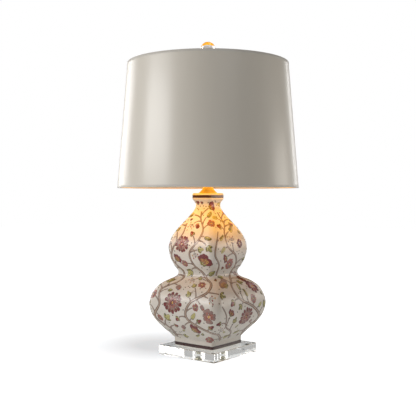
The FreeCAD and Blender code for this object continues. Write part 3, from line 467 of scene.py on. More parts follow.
def turned(outline):
    """bmesh from a closed outline of (radius, height) points spun about the lamp's axis."""
    bm = bmesh.new()
    ring = [bm.verts.new((radius, 0, height)) for radius, height in outline]
    edges = [bm.edges.new((a, b)) for a, b in zip(ring, ring[1:] + ring[:1])]
    bmesh.ops.spin(bm, geom=ring + edges, cent=AXIS_FOOT, axis=(0, 0, 1), angle=2 * math.pi,
                   steps=SPIN_STEPS, use_merge=True, use_duplicate=False)
    bmesh.ops.remove_doubles(bm, verts=bm.verts, dist=SPIN_MERGE)
    bmesh.ops.recalc_face_normals(bm, faces=bm.faces)
    return bm


def outline_of(cad_name, levels):
    """Outside radius of a CAD node at some heights, from its farthest vertices there."""
    points = [(math.hypot(v.co.x, v.co.y), v.co.z) for v in frame["nodes"][cad_name].data.vertices]
    return [max(r for r, z in points if abs(z - level) < LEVEL_REACH) for level in levels]


lining_low, lining_high = (corner.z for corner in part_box("shade_lining"))
lining_bottom, lining_top = outline_of("shade_lining", (lining_low, lining_high))
SHADE_WALL = 1.2 * MM
FOIL_WALL = 0.3 * MM
PAPER_GAP = 0.03 * MM
SHADE_SLOPE = (lining_top - lining_bottom) / (lining_high - lining_low)


def shade_radius(height, outward=0.0):
    """Radius of the shade's outer face at a height, plus an offset."""
    return lining_bottom + SHADE_WALL + PAPER_GAP + SHADE_SLOPE * (height - lining_low) + outward


def cone_wall(outer, wall, name, material, cad_name):
    """Wall as high as the shade; outer is how far its outer face lies from the shade's."""
    low, high = lining_low, lining_high
    bm = turned([(shade_radius(low, outer), low), (shade_radius(high, outer), high),
                 (shade_radius(high, outer - wall), high), (shade_radius(low, outer - wall), low)])
    add_piece(name, bm, "shade", material, (cad_name,))


cone_wall(0, SHADE_WALL, "shade_wall", SHADE_PAPER, "shade_shell")
cone_wall(-SHADE_WALL - PAPER_GAP, FOIL_WALL, "foil_lining", GOLD_FOIL, "shade_lining")
print("shade from", round(lining_low, 4), "to", round(lining_high, 4))

# %% [markdown]
# A narrow tape is folded over each rim. Its outline runs down the outside, under the edge
# and a hair's breadth up the inside, so that the lit foil shows right down to the edge.

# %% Folded edge tapes
TAPE_HEIGHT = 5.0 * MM
TAPE_TURN_IN = 0.6 * MM
TAPE_WALL = 0.22 * MM
TAPE_SHARP_ANGLE = math.radians(50)


def edge_tape(edge, inward, name, cad_name):
    """Tape folded over an edge; inward is +1 where the shade rises from the edge."""
    inner = -SHADE_WALL - FOIL_WALL - 3 * PAPER_GAP
    reach = edge + inward * TAPE_HEIGHT
    turn_in = edge + inward * TAPE_TURN_IN
    fold = edge - inward * TAPE_WALL
    outline = [(shade_radius(reach, TAPE_WALL), reach), (shade_radius(edge, TAPE_WALL), edge),
               (shade_radius(fold, 0), fold), (shade_radius(fold, inner), fold),
               (shade_radius(edge, inner - TAPE_WALL), edge),
               (shade_radius(turn_in, inner - TAPE_WALL), turn_in),
               (shade_radius(turn_in, inner), turn_in), (shade_radius(edge, inner), edge),
               (shade_radius(edge, 0), edge), (shade_radius(reach, 0), reach)]
    add_piece(name, turned(outline), "shade", EDGE_TAPE, (cad_name,), TAPE_SHARP_ANGLE)


edge_tape(lining_high, -1, "top_edge_tape", "shade_top_trim")
edge_tape(lining_low, 1, "bottom_edge_tape", "shade_bottom_trim")
print("tapes", round(TAPE_HEIGHT / MM, 1), "mm high")

# %% [markdown]
# The rolled paper overlaps at the back, where it is glued down. One cut through the
# overlap is extruded and turned about the lamp's axis, which bends it to the wall.

# %% Glued seam at the back
SEAM_WIDTH = 11 * MM
SEAM_THICKNESS = 0.6 * MM
low, high = lining_low + TAPE_HEIGHT + PAPER_GAP, lining_high - TAPE_HEIGHT - PAPER_GAP
seam_turn = SEAM_WIDTH / shade_radius(low)
bm = bmesh.new()
corners = ((-PAPER_GAP, low), (SEAM_THICKNESS, low), (SEAM_THICKNESS, high), (-PAPER_GAP, high))
ring = [bm.verts.new((shade_radius(height, out), 0, height)) for out, height in corners]
bmesh.ops.contextual_create(bm, geom=ring)
bmesh.ops.rotate(bm, verts=bm.verts, cent=AXIS_FOOT,
                 matrix=Matrix.Rotation((math.pi - seam_turn) / 2, 3, "Z"))
swept = bmesh.ops.extrude_face_region(bm, geom=bm.faces)["geom"]
bmesh.ops.rotate(bm, verts=[part for part in swept if isinstance(part, bmesh.types.BMVert)],
                 cent=AXIS_FOOT, matrix=Matrix.Rotation(seam_turn, 3, "Z"))
bmesh.ops.recalc_face_normals(bm, faces=bm.faces)
add_piece("shade_seam", bm, "shade", SHADE_PAPER, ())
print("seam turn", round(math.degrees(seam_turn), 2), "degrees")

# %% [markdown]
# ## Cap on the rim
#
# Only the foot of this spun cap shows below the shade. The photo gives it the slope of a
# bell there, fuller than one plain arc, so it is turned from its own points.

# %% Bell-shaped cap
CAP_OUTLINE = ((5.2, 0), (20.4, 0), (20.4, 1.4), (19.2, 2.0), (17.8, 3.4), (15.9, 5.3), (14.0, 7.6),
               (12.3, 10.4), (11.0, 13.8), (10.1, 18.4), (9.6, 24.0), (5.2, 24.0))
cap_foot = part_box("vase_cap")[0].z
bm = turned([(radius * MM, cap_foot + height * MM) for radius, height in CAP_OUTLINE])
add_piece("bell_cap", bm, "stand", SATIN_BRASS, ("vase_cap",))
print("cap foot", round(cap_foot, 4))

# %% [markdown]
# ## Finial ball
#
# The finial is a solid crystal ball on a brass foot. Glass shows every facet, so the ball
# is a fine sphere in place of the CAD one. A UV sphere with the same diameter does it.

# %% Finial ball
ball_low, ball_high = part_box("finial_ball")
ball_radius = (ball_high.z - ball_low.z) / 2
bm = bmesh.new()
bmesh.ops.create_uvsphere(bm, u_segments=64, v_segments=40, radius=ball_radius)
bmesh.ops.translate(bm, verts=bm.verts, vec=(0, 0, (ball_high.z + ball_low.z) / 2))
add_piece("finial_crystal", bm, "finial", CRYSTAL, ("finial_ball",))
print("ball radius", round(ball_radius / MM, 1), "mm")

# %% [markdown]
# ## The bare foot
#
# The porcelain stands on the clear block with a bare, unglazed foot. Seen from above, the
# block's underside mirrors that foot, and a path tracer finds no light between the two.
# So the foot's own faces are copied just below the glaze as a thin biscuit skin with a
# faint glow: painted light for the daylight that comes in through the acrylic.

# %% Biscuit foot with a painted glow, seen through the block
FOOT_SINK = 0.12 * MM
FOOT_FLATNESS = 0.02 * MM
BISCUIT_SKIN = 0.05 * MM
FOOT_GLOW = 0.20
BISCUIT_PAINTED_GLOW = finish("biscuit foot painted glow", (214, 204, 188), (196, 184, 166), polish=(0.7, 0.85))
# Painted light: the skin glows as if daylight came in through the acrylic.
glowing(BISCUIT_PAINTED_GLOW, (214, 204, 188), (226, 216, 202), 60.0, FOOT_GLOW)
gourd_low, gourd_high = (corner.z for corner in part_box("gourd_body"))
bm = bmesh.new()
bm.from_mesh(gourd.data)
above = [face for face in bm.faces if face.calc_center_median().z > gourd_low + FOOT_FLATNESS]
bmesh.ops.delete(bm, geom=above, context="FACES")
print("foot area", round(sum(face.calc_area() for face in bm.faces) * 1e4, 1), "cm2")
bmesh.ops.translate(bm, verts=bm.verts, vec=(0, 0, -FOOT_SINK))
bmesh.ops.solidify(bm, geom=bm.faces, thickness=BISCUIT_SKIN)
add_piece("biscuit_foot_painted_glow", bm, "stand", BISCUIT_PAINTED_GLOW, ())

# %% [markdown]
# ## A canvas on the porcelain
#
# The vines run round the corners and through the waist, so they are drawn on an unrolled
# canvas. Across, one unit is one side of the gourd, from the middle of a flat; up, it is
# the length along the swelling outline. Rays from outside find the glaze, and a table of
# points turns any place on the canvas into a place on the porcelain.

# %% Unrolling the gourd
RAY_START = 0.3
ROW_STEP = 1.5 * MM
FOOT_SKIP, TOP_SKIP = 0.1 * MM, 1.2 * MM
SIDES = 4
COLUMNS_A_SIDE = 100
RAYS = 720


def gourd_radii(levels):
    """Distance from the axis to the glaze, for each level and each ray round it."""
    source = gourd.data
    tree = BVHTree.FromPolygons([v.co for v in source.vertices], [p.vertices[:] for p in source.polygons])
    table = np.zeros((len(levels), RAYS))
    for row, level in enumerate(levels):
        for ray in range(RAYS):
            turn = 2 * math.pi * ray / RAYS - math.pi / 2
            out = Vector((math.cos(turn), math.sin(turn), 0))
            place = tree.ray_cast(out * RAY_START + Vector((0, 0, level)), -out)[0]
            table[row, ray] = place.xy.length if place else table[row - 1, ray]
    return table


levels = np.arange(gourd_low + FOOT_SKIP, gourd_high - TOP_SKIP, ROW_STEP)
radii = gourd_radii(levels)
print("rays", radii.size)
rise = np.hypot(np.diff(levels), np.diff(radii[:, 0]))
climb = np.concatenate([[0.0], np.cumsum(rise)])
print("canvas height", round(climb[-1] / MM, 1), "mm")

# %% Canvas table
turns = 2 * np.pi * np.arange(RAYS + 1) / RAYS - np.pi / 2
columns = np.arange(SIDES * COLUMNS_A_SIDE + 1) / COLUMNS_A_SIDE
rows = np.arange(0, climb[-1], ROW_STEP)


def canvas_row(height_along):
    """Points round the gourd, evenly spaced by length, at one height along its outline."""
    level = np.interp(height_along, climb, levels)
    place = (level - levels[0]) / ROW_STEP
    below = min(int(place), len(levels) - 2)
    ring = radii[below] + (radii[below + 1] - radii[below]) * (place - below)
    ring = np.append(ring, ring[0])
    x, y = ring * np.cos(turns), ring * np.sin(turns)
    along = np.concatenate([[0.0], np.cumsum(np.hypot(np.diff(x), np.diff(y)))])
    want = columns / SIDES * along[-1]
    points = np.stack([np.interp(want, along, x), np.interp(want, along, y), np.full(len(want), level)], 1)
    return points, along[-1]


canvas_rows = [canvas_row(height) for height in rows]
CANVAS = np.array([points for points, girth in canvas_rows])
GIRTH = np.array([girth for points, girth in canvas_rows])
round_it = np.roll(CANVAS[:, :-1], -1, 1) - np.roll(CANVAS[:, :-1], 1, 1)
up_it = np.gradient(CANVAS, axis=0)[:, :-1]
OUTWARD = np.cross(round_it, up_it)
OUTWARD /= np.linalg.norm(OUTWARD, axis=2, keepdims=True)
OUTWARD = np.concatenate([OUTWARD, OUTWARD[:, :1]], 1)
CANVAS_TOP = float(rows[-1])
print("canvas table", CANVAS.shape)


def side_length(height):
    """Metres of girth that one canvas unit across covers, at heights along the outline."""
    return np.interp(height, rows, GIRTH) / SIDES


def on_glaze(across, height, lift):
    """Points on the porcelain for canvas places, raised by lift along its normals."""
    column = np.mod(across, float(SIDES)) * COLUMNS_A_SIDE
    row = np.clip(height / ROW_STEP, 0, len(rows) - 1.001)
    c, r = column.astype(int), row.astype(int)
    fc, fr = (column - c)[:, None], (row - r)[:, None]

    def blended(table):
        return ((table[r, c] * (1 - fc) + table[r, c + 1] * fc) * (1 - fr)
                + (table[r + 1, c] * (1 - fc) + table[r + 1, c + 1] * fc) * fr)

    return blended(CANVAS) + blended(OUTWARD) * np.asarray(lift)[:, None]


# %% [markdown]
# ## One brush stroke
#
# Every painted mark is a stroke: a small grid laid along a line, as wide as the brush at
# each point, with its middle raised and its rim just under the glaze. Leaves and petals
# are short fat strokes, branches long thin ones. All strokes of one colour go into one
# mesh, which Solidify then closes below the glaze. The brown line is in every mark, so it
# gets a mesh for each side of the body.

# %% Brushes and their grids
SINK = 0.12 * MM
ENAMEL_DEPTH = 0.3 * MM
LINE_WIDTH = 0.65 * MM
SHOULDER = 0.25
BROAD_STROKE = 2.5 * MM
BROAD_LANES, FINE_LANES = 6, 4
THINNEST = 0.03 * MM
UNDER, OVER, TOP = 0.10 * MM, 0.20 * MM, 0.28 * MM
dice = random.Random(11)
brushes = {name: ([], []) for name in ENAMELS if name not in ("band", "line")}
brushes.update({f"line {side}": ([], []) for side in range(SIDES)})
strips = {}
print("brushes", len(brushes))


def strip(steps, lanes):
    """Places and faces of a flat strip from -1 to 1, made once for each size of grid."""
    if (steps, lanes) not in strips:
        bm = bmesh.new()
        bmesh.ops.create_grid(bm, x_segments=steps, y_segments=lanes, size=1.0)
        flat = np.array([vert.co[:2] for vert in bm.verts])
        faces = np.array([[vert.index for vert in face.verts] for face in bm.faces])
        bm.free()
        index = np.rint((flat[:, 0] + 1) / 2 * steps).astype(int)
        rim = (np.abs(flat[:, 1]) > 0.99) | (np.minimum(index, steps - index) == 0)
        side = np.sign(flat[:, 1]) * np.abs(flat[:, 1]) ** SHOULDER
        strips[steps, lanes] = index, side, rim, faces
    return strips[steps, lanes]


# %% Paths on the canvas
def smooth_path(points, steps):
    """Catmull-Rom curve through canvas places, as an array with steps + 1 rows."""
    knots = np.array([points[0]] + list(points) + [points[-1]], float)
    spans = len(points) - 1
    places = np.linspace(0, spans, steps + 1)
    index = np.minimum(places.astype(int), spans - 1)
    t = (places - index)[:, None]
    p0, p1, p2, p3 = (knots[index + k] for k in range(4))
    return 0.5 * (2 * p1 + (p2 - p0) * t + (2 * p0 - 5 * p1 + 4 * p2 - p3) * t ** 2
                  + (3 * p1 - p0 - 3 * p2 + p3) * t ** 3)


def wander(place, heading, length, steps, turn=0.0):
    """Canvas path that leaves a place in a heading and turns evenly as it goes."""
    step = length / steps
    path = [np.array(place, float)]
    for angle in heading + turn * (np.arange(steps) + 0.5) / steps:
        here = path[-1]
        path.append(here + (math.cos(angle) * step / float(side_length(here[1])), math.sin(angle) * step))
    return np.array(path)


def ahead(place, heading, distance):
    """Canvas place at a distance from another."""
    return wander(place, heading, distance, 1)[1]


# %% Laying a stroke
def brush_width(steps, width, shape):
    """Half widths along a stroke, for one of five shapes of mark."""
    u = np.linspace(0, 1, steps + 1)
    laws = {
        "leaf": np.sin(np.pi * u ** 0.8) ** 0.85,
        "petal": np.sin(np.pi * np.clip(u, 0.02, 0.985) ** 1.5) ** 0.6,
        "branch": 1.0 - 0.6 * u,
        "tendril": np.sin(np.pi * (0.12 + 0.86 * u)) ** 0.5,
        "dot": np.sqrt(np.clip(1 - (2 * u - 1) ** 2, 0, 1)),
    }
    return laws[shape] * width + THINNEST


def stroke(colour, path, half_widths, lift):
    """Lays a raised mark along canvas places, half_widths to each side of them."""
    steps = len(path) - 1
    index, side, rim, faces = strip(steps, BROAD_LANES if half_widths.max() > BROAD_STROKE else FINE_LANES)
    scale = side_length(path[:, 1])
    run = np.gradient(path, axis=0) * np.stack([scale, np.ones(steps + 1)], 1)
    run /= np.maximum(np.linalg.norm(run, axis=1, keepdims=True), 1e-9)
    reach = half_widths[index] * side
    across = path[index, 0] - run[index, 1] * reach / scale[index]
    height = path[index, 1] + run[index, 0] * reach
    if colour == "line":
        colour = f"line {math.floor(path[0, 0]) % SIDES}"
    places, all_faces = brushes[colour]
    all_faces.extend((faces + len(places)).tolist())
    places.extend(on_glaze(across, height, np.where(rim, -SINK, lift)).tolist())


def outlined(colour, path, half_widths):
    """A mark with a thin dark line round it."""
    stroke("line", path, half_widths + LINE_WIDTH, UNDER)
    stroke(colour, path, half_widths, OVER)


# %% [markdown]
# ## Motifs
#
# Each motif is drawn from a place, in a heading, at a size in metres, and uses nothing
# but strokes. Sizes and headings come from the vine that carries it.

# %% Leaves
TWO_TONE_LEAF = 8 * MM
MIDRIB, SPINE, STALK, TENDRIL, VEIN = 0.22 * MM, 0.4 * MM, 0.45 * MM, 0.38 * MM, 0.25 * MM


def leaf(place, heading, size, colour, bend=0.6):
    """Curved leaf with a midrib, and a paler half where it is big enough to show one."""
    path = wander(place, heading - bend / 2, size, 8, bend)
    outlined(colour, path, brush_width(8, 0.23 * size, "leaf"))
    if size > TWO_TONE_LEAF:
        sides = heading + bend * (np.arange(9) / 8 - 0.5) + math.pi / 2
        half = [ahead(spot, side, 0.10 * size) for spot, side in zip(path, sides)]
        stroke("light_leaf", np.array(half)[1:-1], brush_width(6, 0.09 * size, "leaf"), TOP)
    stroke("line", path[1:-1], brush_width(6, MIDRIB, "branch"), TOP + SINK)


def dot(colour, place, radius):
    """Round mark, such as a berry."""
    outlined(colour, wander(ahead(place, math.pi, radius), 0.0, 2 * radius, 4), brush_width(4, radius, "dot"))


def lone_leaf(place, heading, size, colour):
    """One big leaf with a small one at its foot."""
    leaf(place, heading, 1.9 * size, colour, 0.9)
    leaf(place, heading - 1.0, 0.9 * size, "leaf", -0.7)


def leaf_spray(place, heading, size, colour):
    """Three leaves from one joint."""
    for turn, share, tone in ((-0.75, 0.8, "leaf"), (0.7, 0.85, "dark_leaf"), (0.0, 1.1, colour)):
        leaf(place, heading + turn, 1.5 * size * share, tone, turn)


def feather(place, heading, size, colour):
    """Spine with small leaflets on both sides, shorter towards the tip."""
    spine = wander(place, heading, 2 * size, 10, 0.8)
    stroke("line", spine, brush_width(10, SPINE, "branch"), OVER)
    for joint in range(1, 10):
        along = heading + 0.8 * joint / 10
        length = size * (0.75 - 0.045 * joint)
        for side in (-1, 1):
            leaflet = wander(spine[joint], along + side * 0.9, length, 5, -side * 0.4)
            outlined("leaf" if side > 0 else colour, leaflet, brush_width(5, 0.2 * length, "leaf"))


# %% Berries, buds and tendrils
def berries(place, heading, size, colour):
    """Loose bunch on short stalks."""
    for number in range(5):
        angle = heading + (number - 2) * 0.5
        reach = size * (1.5 if number % 2 else 1.0)
        stalk = wander(place, angle, reach, 5, 0.25)
        stroke("line", stalk, brush_width(5, STALK, "tendril"), UNDER)
        dot("berry" if number % 3 else colour, stalk[-1], 0.13 * size + 0.5 * MM)


def bud(place, heading, size, colour):
    """Closed bud in a pair of sepals."""
    outlined(colour, wander(place, heading, 1.7 * size, 7, 0.2), brush_width(7, 0.5 * size, "leaf"))
    outlined("rose", wander(place, heading + 0.15, 1.3 * size, 6, 0.3), brush_width(6, 0.2 * size, "leaf"))
    for side in (-1, 1):
        leaf(place, heading + side * 0.75, 1.1 * size, "leaf", -side * 0.8)


def curl(place, heading, size, side):
    """Tendril that winds up at its end."""
    path = [np.array(place, float)]
    for number in range(26):
        heading += side * (0.04 + 0.022 * number)
        path.append(ahead(path[-1], heading, size * (0.17 - 0.005 * number)))
    stroke("line", np.array(path), brush_width(26, TENDRIL, "tendril"), OVER)


# %% Flowers
VEINED_PETAL = 6 * MM
PETAL_VEIN = 0.2 * MM
STAMEN = 0.3 * MM


def petal_ring(place, heading, inner, outer, count, colour, fat, spread=2 * math.pi):
    """Petals between two radii, over the whole turn or a part of it, no two quite the same."""
    for number in range(count):
        angle = heading + spread * (number - (count - 1) / 2 + dice.uniform(-0.16, 0.16)) / count
        length = (outer - inner) * dice.uniform(0.82, 1.12)
        path = wander(ahead(place, angle, inner), angle, length, 6, dice.uniform(-0.35, 0.35))
        outlined(colour, path, brush_width(6, fat * length, "petal"))
        if length > VEINED_PETAL:
            stroke("line", path[1:-2], brush_width(3, PETAL_VEIN, "branch"), TOP)


def rosette(place, heading, size, colour):
    """Full bloom: two rings of petals round a dotted heart."""
    petal_ring(place, heading, 0.30 * size, size, 9, colour, 0.34)
    heart = "rose" if colour != "rose" else "mauve"
    petal_ring(place, heading + 0.3, 0.16 * size, 0.66 * size, 7, heart, 0.36)
    dot("ochre", place, 0.2 * size)
    for number in range(6):
        dot("wine", ahead(place, heading + number * math.pi / 3, 0.25 * size), 0.05 * size)


def peony(place, heading, size, colour):
    """Large bloom of four rings, each shifted and paler than the one below."""
    rings = ((0.48, 1.0, 13, colour), (0.3, 0.78, 11, "mauve"), (0.16, 0.56, 9, "rose"),
             (0.04, 0.34, 6, colour))
    for number, (inner, outer, count, tone) in enumerate(rings):
        petal_ring(place, heading + 0.2 * number, inner * size, outer * size, count, tone, 0.3)
        for mark in range(count if number < 2 else 0):
            angle = heading + 0.2 * number + 2 * math.pi * (mark + 0.5) / count
            vein = wander(ahead(place, angle, 0.6 * outer * size), angle, 0.22 * size, 3)
            stroke("ochre", vein, brush_width(3, VEIN, "branch"), TOP)
    dot("ochre", place, 0.13 * size)


def daisy(place, heading, size, colour):
    """Thin rays round a button."""
    petal_ring(place, heading, 0.2 * size, size, 13, colour, 0.17)
    dot("ochre", place, 0.24 * size)
    dot("line", place, 0.08 * size)


def fan_bloom(place, heading, size, colour):
    """Bloom seen from its side, opening away from the stalk."""
    base = ahead(place, heading + math.pi, 0.7 * size)
    petal_ring(base, heading, 0.35 * size, 1.75 * size, 7, colour, 0.22, 2.0)
    petal_ring(base, heading, 0.25 * size, 1.3 * size, 5, "ochre", 0.16, 1.5)
    petal_ring(base, heading, 0.1 * size, 0.95 * size, 4, "rose", 0.26, 1.2)
    for side in (-1, 0, 1):
        leaf(base, heading + 0.8 * side, 0.8 * size, "leaf", -0.5 * side)


def bell(place, heading, size, colour):
    """Hanging bell with three lobes and stamens."""
    base = ahead(place, heading + math.pi, 0.8 * size)
    outlined(colour, wander(base, heading, 1.5 * size, 7), brush_width(7, 0.55 * size, "leaf"))
    for side in (-1, 0, 1):
        tip = ahead(base, heading, size)
        outlined("mauve" if side else "rose", wander(tip, heading + side * 0.6, 0.8 * size, 5, side * 0.6),
                 brush_width(5, 0.24 * size, "petal"))
    stroke("ochre", wander(ahead(base, heading, 1.6 * size), heading, 0.5 * size, 4, 0.3),
           brush_width(4, STAMEN, "branch"), OVER)


# %% [markdown]
# ## Where the vines run
#
# Five trunks wind up the two sides that face the eye, three of them from the foot through
# the waist, and the same five, shifted half way round, cover the other two sides. They
# are listed as (across, height in millimetres). Shoots then leave them at even
# steps, each where there is room, and loose sprigs fill what is still bare. Scattering
# everything at random would be shorter, but painters plan the large forms first, and the
# eye notices. The seed keeps the small ones the same every time.

# %% Room on the canvas
FOOT_MARGIN = 15 * MM
RIM_MARGIN = CANVAS_TOP - 14 * MM
BRANCH_ROOM = 1.2 * MM
taken = []


def clearance(place):
    """Distance from a place to the nearest paint and to the edges of the painted field."""
    marks = np.array(taken)
    across = (marks[:, 0] - place[0] + SIDES / 2) % SIDES - SIDES / 2
    apart = np.hypot(across * side_length((marks[:, 1] + place[1]) / 2), marks[:, 1] - place[1])
    return min((apart - marks[:, 2]).min(), place[1] - FOOT_MARGIN, RIM_MARGIN - place[1])


def take(path, radius):
    """Marks canvas places as painted, each with some room round it."""
    for across, height in path:
        taken.append((across, height, radius))


def branch(path, width):
    """Bark with an outline and a paler upper edge."""
    half = brush_width(len(path) - 1, width, "branch")
    outlined("bark", path, half)
    stroke("light_bark", path[1:-1], half[1:-1] * 0.35, TOP)
    take(path, width + BRANCH_ROOM)


def heading_of(path, index):
    """Direction of a path at one of its places."""
    run = path[min(index + 1, len(path) - 1)] - path[max(index - 1, 0)]
    return math.atan2(run[1], run[0] * float(side_length(path[index, 1])))


print("painted field", round((RIM_MARGIN - FOOT_MARGIN) / MM, 1), "mm high")

# %% Trunks
TRUNKS = [
    [(0.72, 19), (0.60, 42), (0.32, 62), (0.10, 88), (0.16, 122), (0.40, 148), (0.46, 176), (0.30, 200),
     (0.08, 222), (0.02, 250), (0.20, 278), (0.28, 306), (0.12, 334), (0.05, 352)],
    [(-0.38, 20), (-0.30, 48), (-0.42, 80), (-0.30, 112), (-0.36, 145), (-0.20, 172), (-0.28, 200),
     (-0.42, 232), (-0.34, 262), (-0.22, 292), (-0.30, 320)],
    [(1.45, 19), (1.30, 45), (1.38, 75), (1.18, 104), (0.92, 128), (0.86, 158), (1.02, 184), (1.20, 208),
     (1.12, 240), (0.88, 262), (0.84, 292), (1.00, 320), (0.98, 350)],
    [(0.98, 20), (0.90, 44), (0.70, 66), (0.66, 96), (0.58, 118)],
    [(0.62, 196), (0.66, 222), (0.54, 246), (0.58, 276), (0.66, 300)],
]
BACK_SHIFT = 2.06
TRUNK_WIDTH = 3.2 * MM
THIN_TRUNK = 0.7 * TRUNK_WIDTH

trunk_paths = []
for points in TRUNKS + [[(a + BACK_SHIFT, t) for a, t in points] for points in TRUNKS]:
    path = smooth_path([(a, t * MM) for a, t in points], 9 * (len(points) - 1))
    trunk_paths.append(path)
    branch(path, TRUNK_WIDTH if len(points) > 6 else THIN_TRUNK)
print("trunks", len(trunk_paths))

# %% Large blooms, listed one by one
BLOOMS = [
    (peony, -0.10, 118, 0.4, 26, "wine"),
    (rosette, 0.42, 96, 1.0, 18, "mauve"),
    (fan_bloom, 0.33, 232, 1.0, 16, "wine"),
    (peony, -0.16, 268, 1.4, 20, "wine"),
    (peony, 1.06, 84, 1.2, 23, "wine"),
    (fan_bloom, 0.72, 168, 2.2, 16, "mauve"),
    (rosette, 1.30, 150, 0.5, 18, "wine"),
    (rosette, 0.98, 222, 0.5, 14, "rose"),
    (daisy, 0.30, 168, 0.2, 11, "rose"),
    (fan_bloom, 0.18, 56, 0.7, 13, "wine"),
    (daisy, 1.22, 268, 0.2, 12, "wine"),
    (bell, 0.10, 312, 2.2, 9, "wine"),
]
BACK_BLOOMS = [(motif, across + BACK_SHIFT, *rest) for motif, across, *rest in BLOOMS]
for motif, across, height, heading, size, colour in BLOOMS + BACK_BLOOMS:
    place = np.array((across, height * MM))
    motif(place, heading, size * MM, colour)
    take([place], size * MM)
print("blooms", len(BLOOMS + BACK_BLOOMS))

# %% Shoots
MOTIFS = [
    (leaf_spray, 13.0, "light_leaf"), (rosette, 10.0, "rose"), (feather, 12.0, "light_leaf"),
    (berries, 9.5, "ochre"), (lone_leaf, 11.0, "light_leaf"), (leaf_spray, 11.5, "olive_leaf"),
    (bud, 9.0, "wine"), (leaf_spray, 12.0, "leaf"), (lone_leaf, 10.0, "olive_leaf"),
    (leaf_spray, 10.0, "light_leaf"), (bell, 9.0, "mauve"), (fan_bloom, 9.5, "wine"),
    (lone_leaf, 9.0, "leaf"),
]
CENTRED_MOTIFS = (rosette, daisy, peony, fan_bloom, bell)
SHOOT_STEP = 3
SHOOT_WIDTH = 1.4 * MM
SHOOT_LENGTHS, SHOOT_TURNS = (9, 30), (0.3, 1.7)
SHOOT_ANGLES, SHOOT_SIZES = (0.5, 1.1), (0.8, 1.15)
TRIES = 14


def try_shoot(start, heading, side, motif, size, colour):
    """Draws one side shoot with its motif if some length and curl of it fits."""
    for attempt in range(TRIES):
        length = dice.uniform(*SHOOT_LENGTHS) * MM
        turn = side * dice.uniform(*SHOOT_TURNS)
        leave = heading + side * dice.uniform(*SHOOT_ANGLES)
        path = wander(start, leave, length, max(6, int(length / (2.5 * MM))), turn)
        centre = ahead(path[-1], leave + turn, 0.75 * size)
        if clearance(centre) > 0.95 * size and clearance(path[-1]) > 1.5 * MM:
            branch(path, SHOOT_WIDTH)
            motif(centre if motif in CENTRED_MOTIFS else path[-1], leave + turn, size, colour)
            take([centre], size)
            return path
    return None


shoots = 0
for path in trunk_paths:
    for joint in range(3, len(path) - 2, SHOOT_STEP):
        side = 1 if (joint // SHOOT_STEP) % 2 else -1
        for turn_side in (side, -side):
            motif, size, colour = MOTIFS[dice.randrange(len(MOTIFS))]
            size = size * MM * dice.uniform(*SHOOT_SIZES)
            grown = try_shoot(path[joint], heading_of(path, joint), turn_side, motif, size, colour)
            if grown is None:
                continue
            shoots += 1
            middle = len(grown) // 2
            if clearance(ahead(grown[middle], 0, 6 * MM)) > 3 * MM:
                curl(grown[middle], heading_of(grown, middle) + 0.6, 7 * MM, turn_side)
print("shoots", shoots)

# %% Loose sprigs and specks
SMALL = [
    (leaf_spray, 8.0, "light_leaf"), (berries, 7.0, "ochre"), (lone_leaf, 6.0, "leaf"),
    (bud, 5.5, "wine"), (feather, 8.0, "light_leaf"), (leaf_spray, 7.0, "olive_leaf"),
    (lone_leaf, 7.0, "light_leaf"),
]
SPRIG_TRIES = 2600
SPRIG_SIZES, SPRIG_HEADINGS = (0.75, 1.1), (0.2, 2.9)
SPECK = 3.4 * MM
LEAST_ROOM, MOST_ROOM = 2.6 * MM, 4 * MM
sprigs = 0
for attempt in range(SPRIG_TRIES):
    place = np.array((dice.uniform(0, SIDES), dice.uniform(FOOT_MARGIN, RIM_MARGIN)))
    motif, size, colour = SMALL[dice.randrange(len(SMALL))]
    size *= MM * dice.uniform(*SPRIG_SIZES)
    room = clearance(place)
    heading = dice.uniform(*SPRIG_HEADINGS)
    if room > 1.25 * size:
        motif(place, heading, size, colour)
        take([ahead(place, heading, 0.5 * size)], 1.2 * size)
        sprigs += 1
    elif LEAST_ROOM < room < MOST_ROOM:
        leaf(place, heading, SPECK, "leaf")
        take([place], SPECK)
print("sprigs", sprigs)

# %% [markdown]
# Until now the strokes are lists of places and faces. Each list becomes one mesh, and
# Solidify gives the flat marks a body that ends below the glaze, with a closed rim.

# %% Close every colour into solid enamel
PAINT_SHARP_ANGLE = math.radians(60)
for name, (places, faces) in brushes.items():
    mesh = bpy.data.meshes.new("strokes")
    mesh.from_pydata(places, [], faces)
    bm = bmesh.new()
    bm.from_mesh(mesh)
    print(name, "faces", len(bm.faces))
    bmesh.ops.solidify(bm, geom=bm.faces, thickness=ENAMEL_DEPTH)
    bmesh.ops.recalc_face_normals(bm, faces=bm.faces)
    title = "painted_" + name.replace(" ", "_")
    add_piece(title, bm, "stand", ENAMELS[name.split()[0]], (), PAINT_SHARP_ANGLE)

# %% [markdown]
# A dark band closes the painting at the foot and at the rim. It is one grid, bent round
# the gourd by the same table that places the strokes, so it follows the corners.

# %% Bands at foot and rim
BAND_LANES = 4
BAND_LIFT = 0.15 * MM
BAND_MERGE = 0.01 * MM
BAND_FOOT, FOOT_BAND = 0.15 * MM, 9.4 * MM
LIP, RIM_BAND = 2.6 * MM, 9.0 * MM


def band(low_z, high_z, name):
    """Closed painted ring between two heights, from one grid bent round the gourd."""
    low, high = np.interp([low_z, high_z], levels, climb)
    bm = bmesh.new()
    made = bmesh.ops.create_grid(bm, x_segments=SIDES * COLUMNS_A_SIDE, y_segments=BAND_LANES,
                                 size=1.0)["verts"]
    flat = np.array([v.co[:2] for v in made])
    side = flat[:, 1]
    lift = BAND_LIFT * (1 - side ** 4) - SINK * side ** 4
    places = on_glaze((flat[:, 0] + 1) / 2 * SIDES, low + (side + 1) / 2 * (high - low), lift)
    for vert, place in zip(made, places):
        vert.co = place
    bmesh.ops.remove_doubles(bm, verts=bm.verts, dist=BAND_MERGE)
    bmesh.ops.recalc_face_normals(bm, faces=bm.faces)
    bmesh.ops.solidify(bm, geom=bm.faces, thickness=ENAMEL_DEPTH)
    add_piece(name, bm, "stand", ENAMELS["band"], (), PAINT_SHARP_ANGLE)


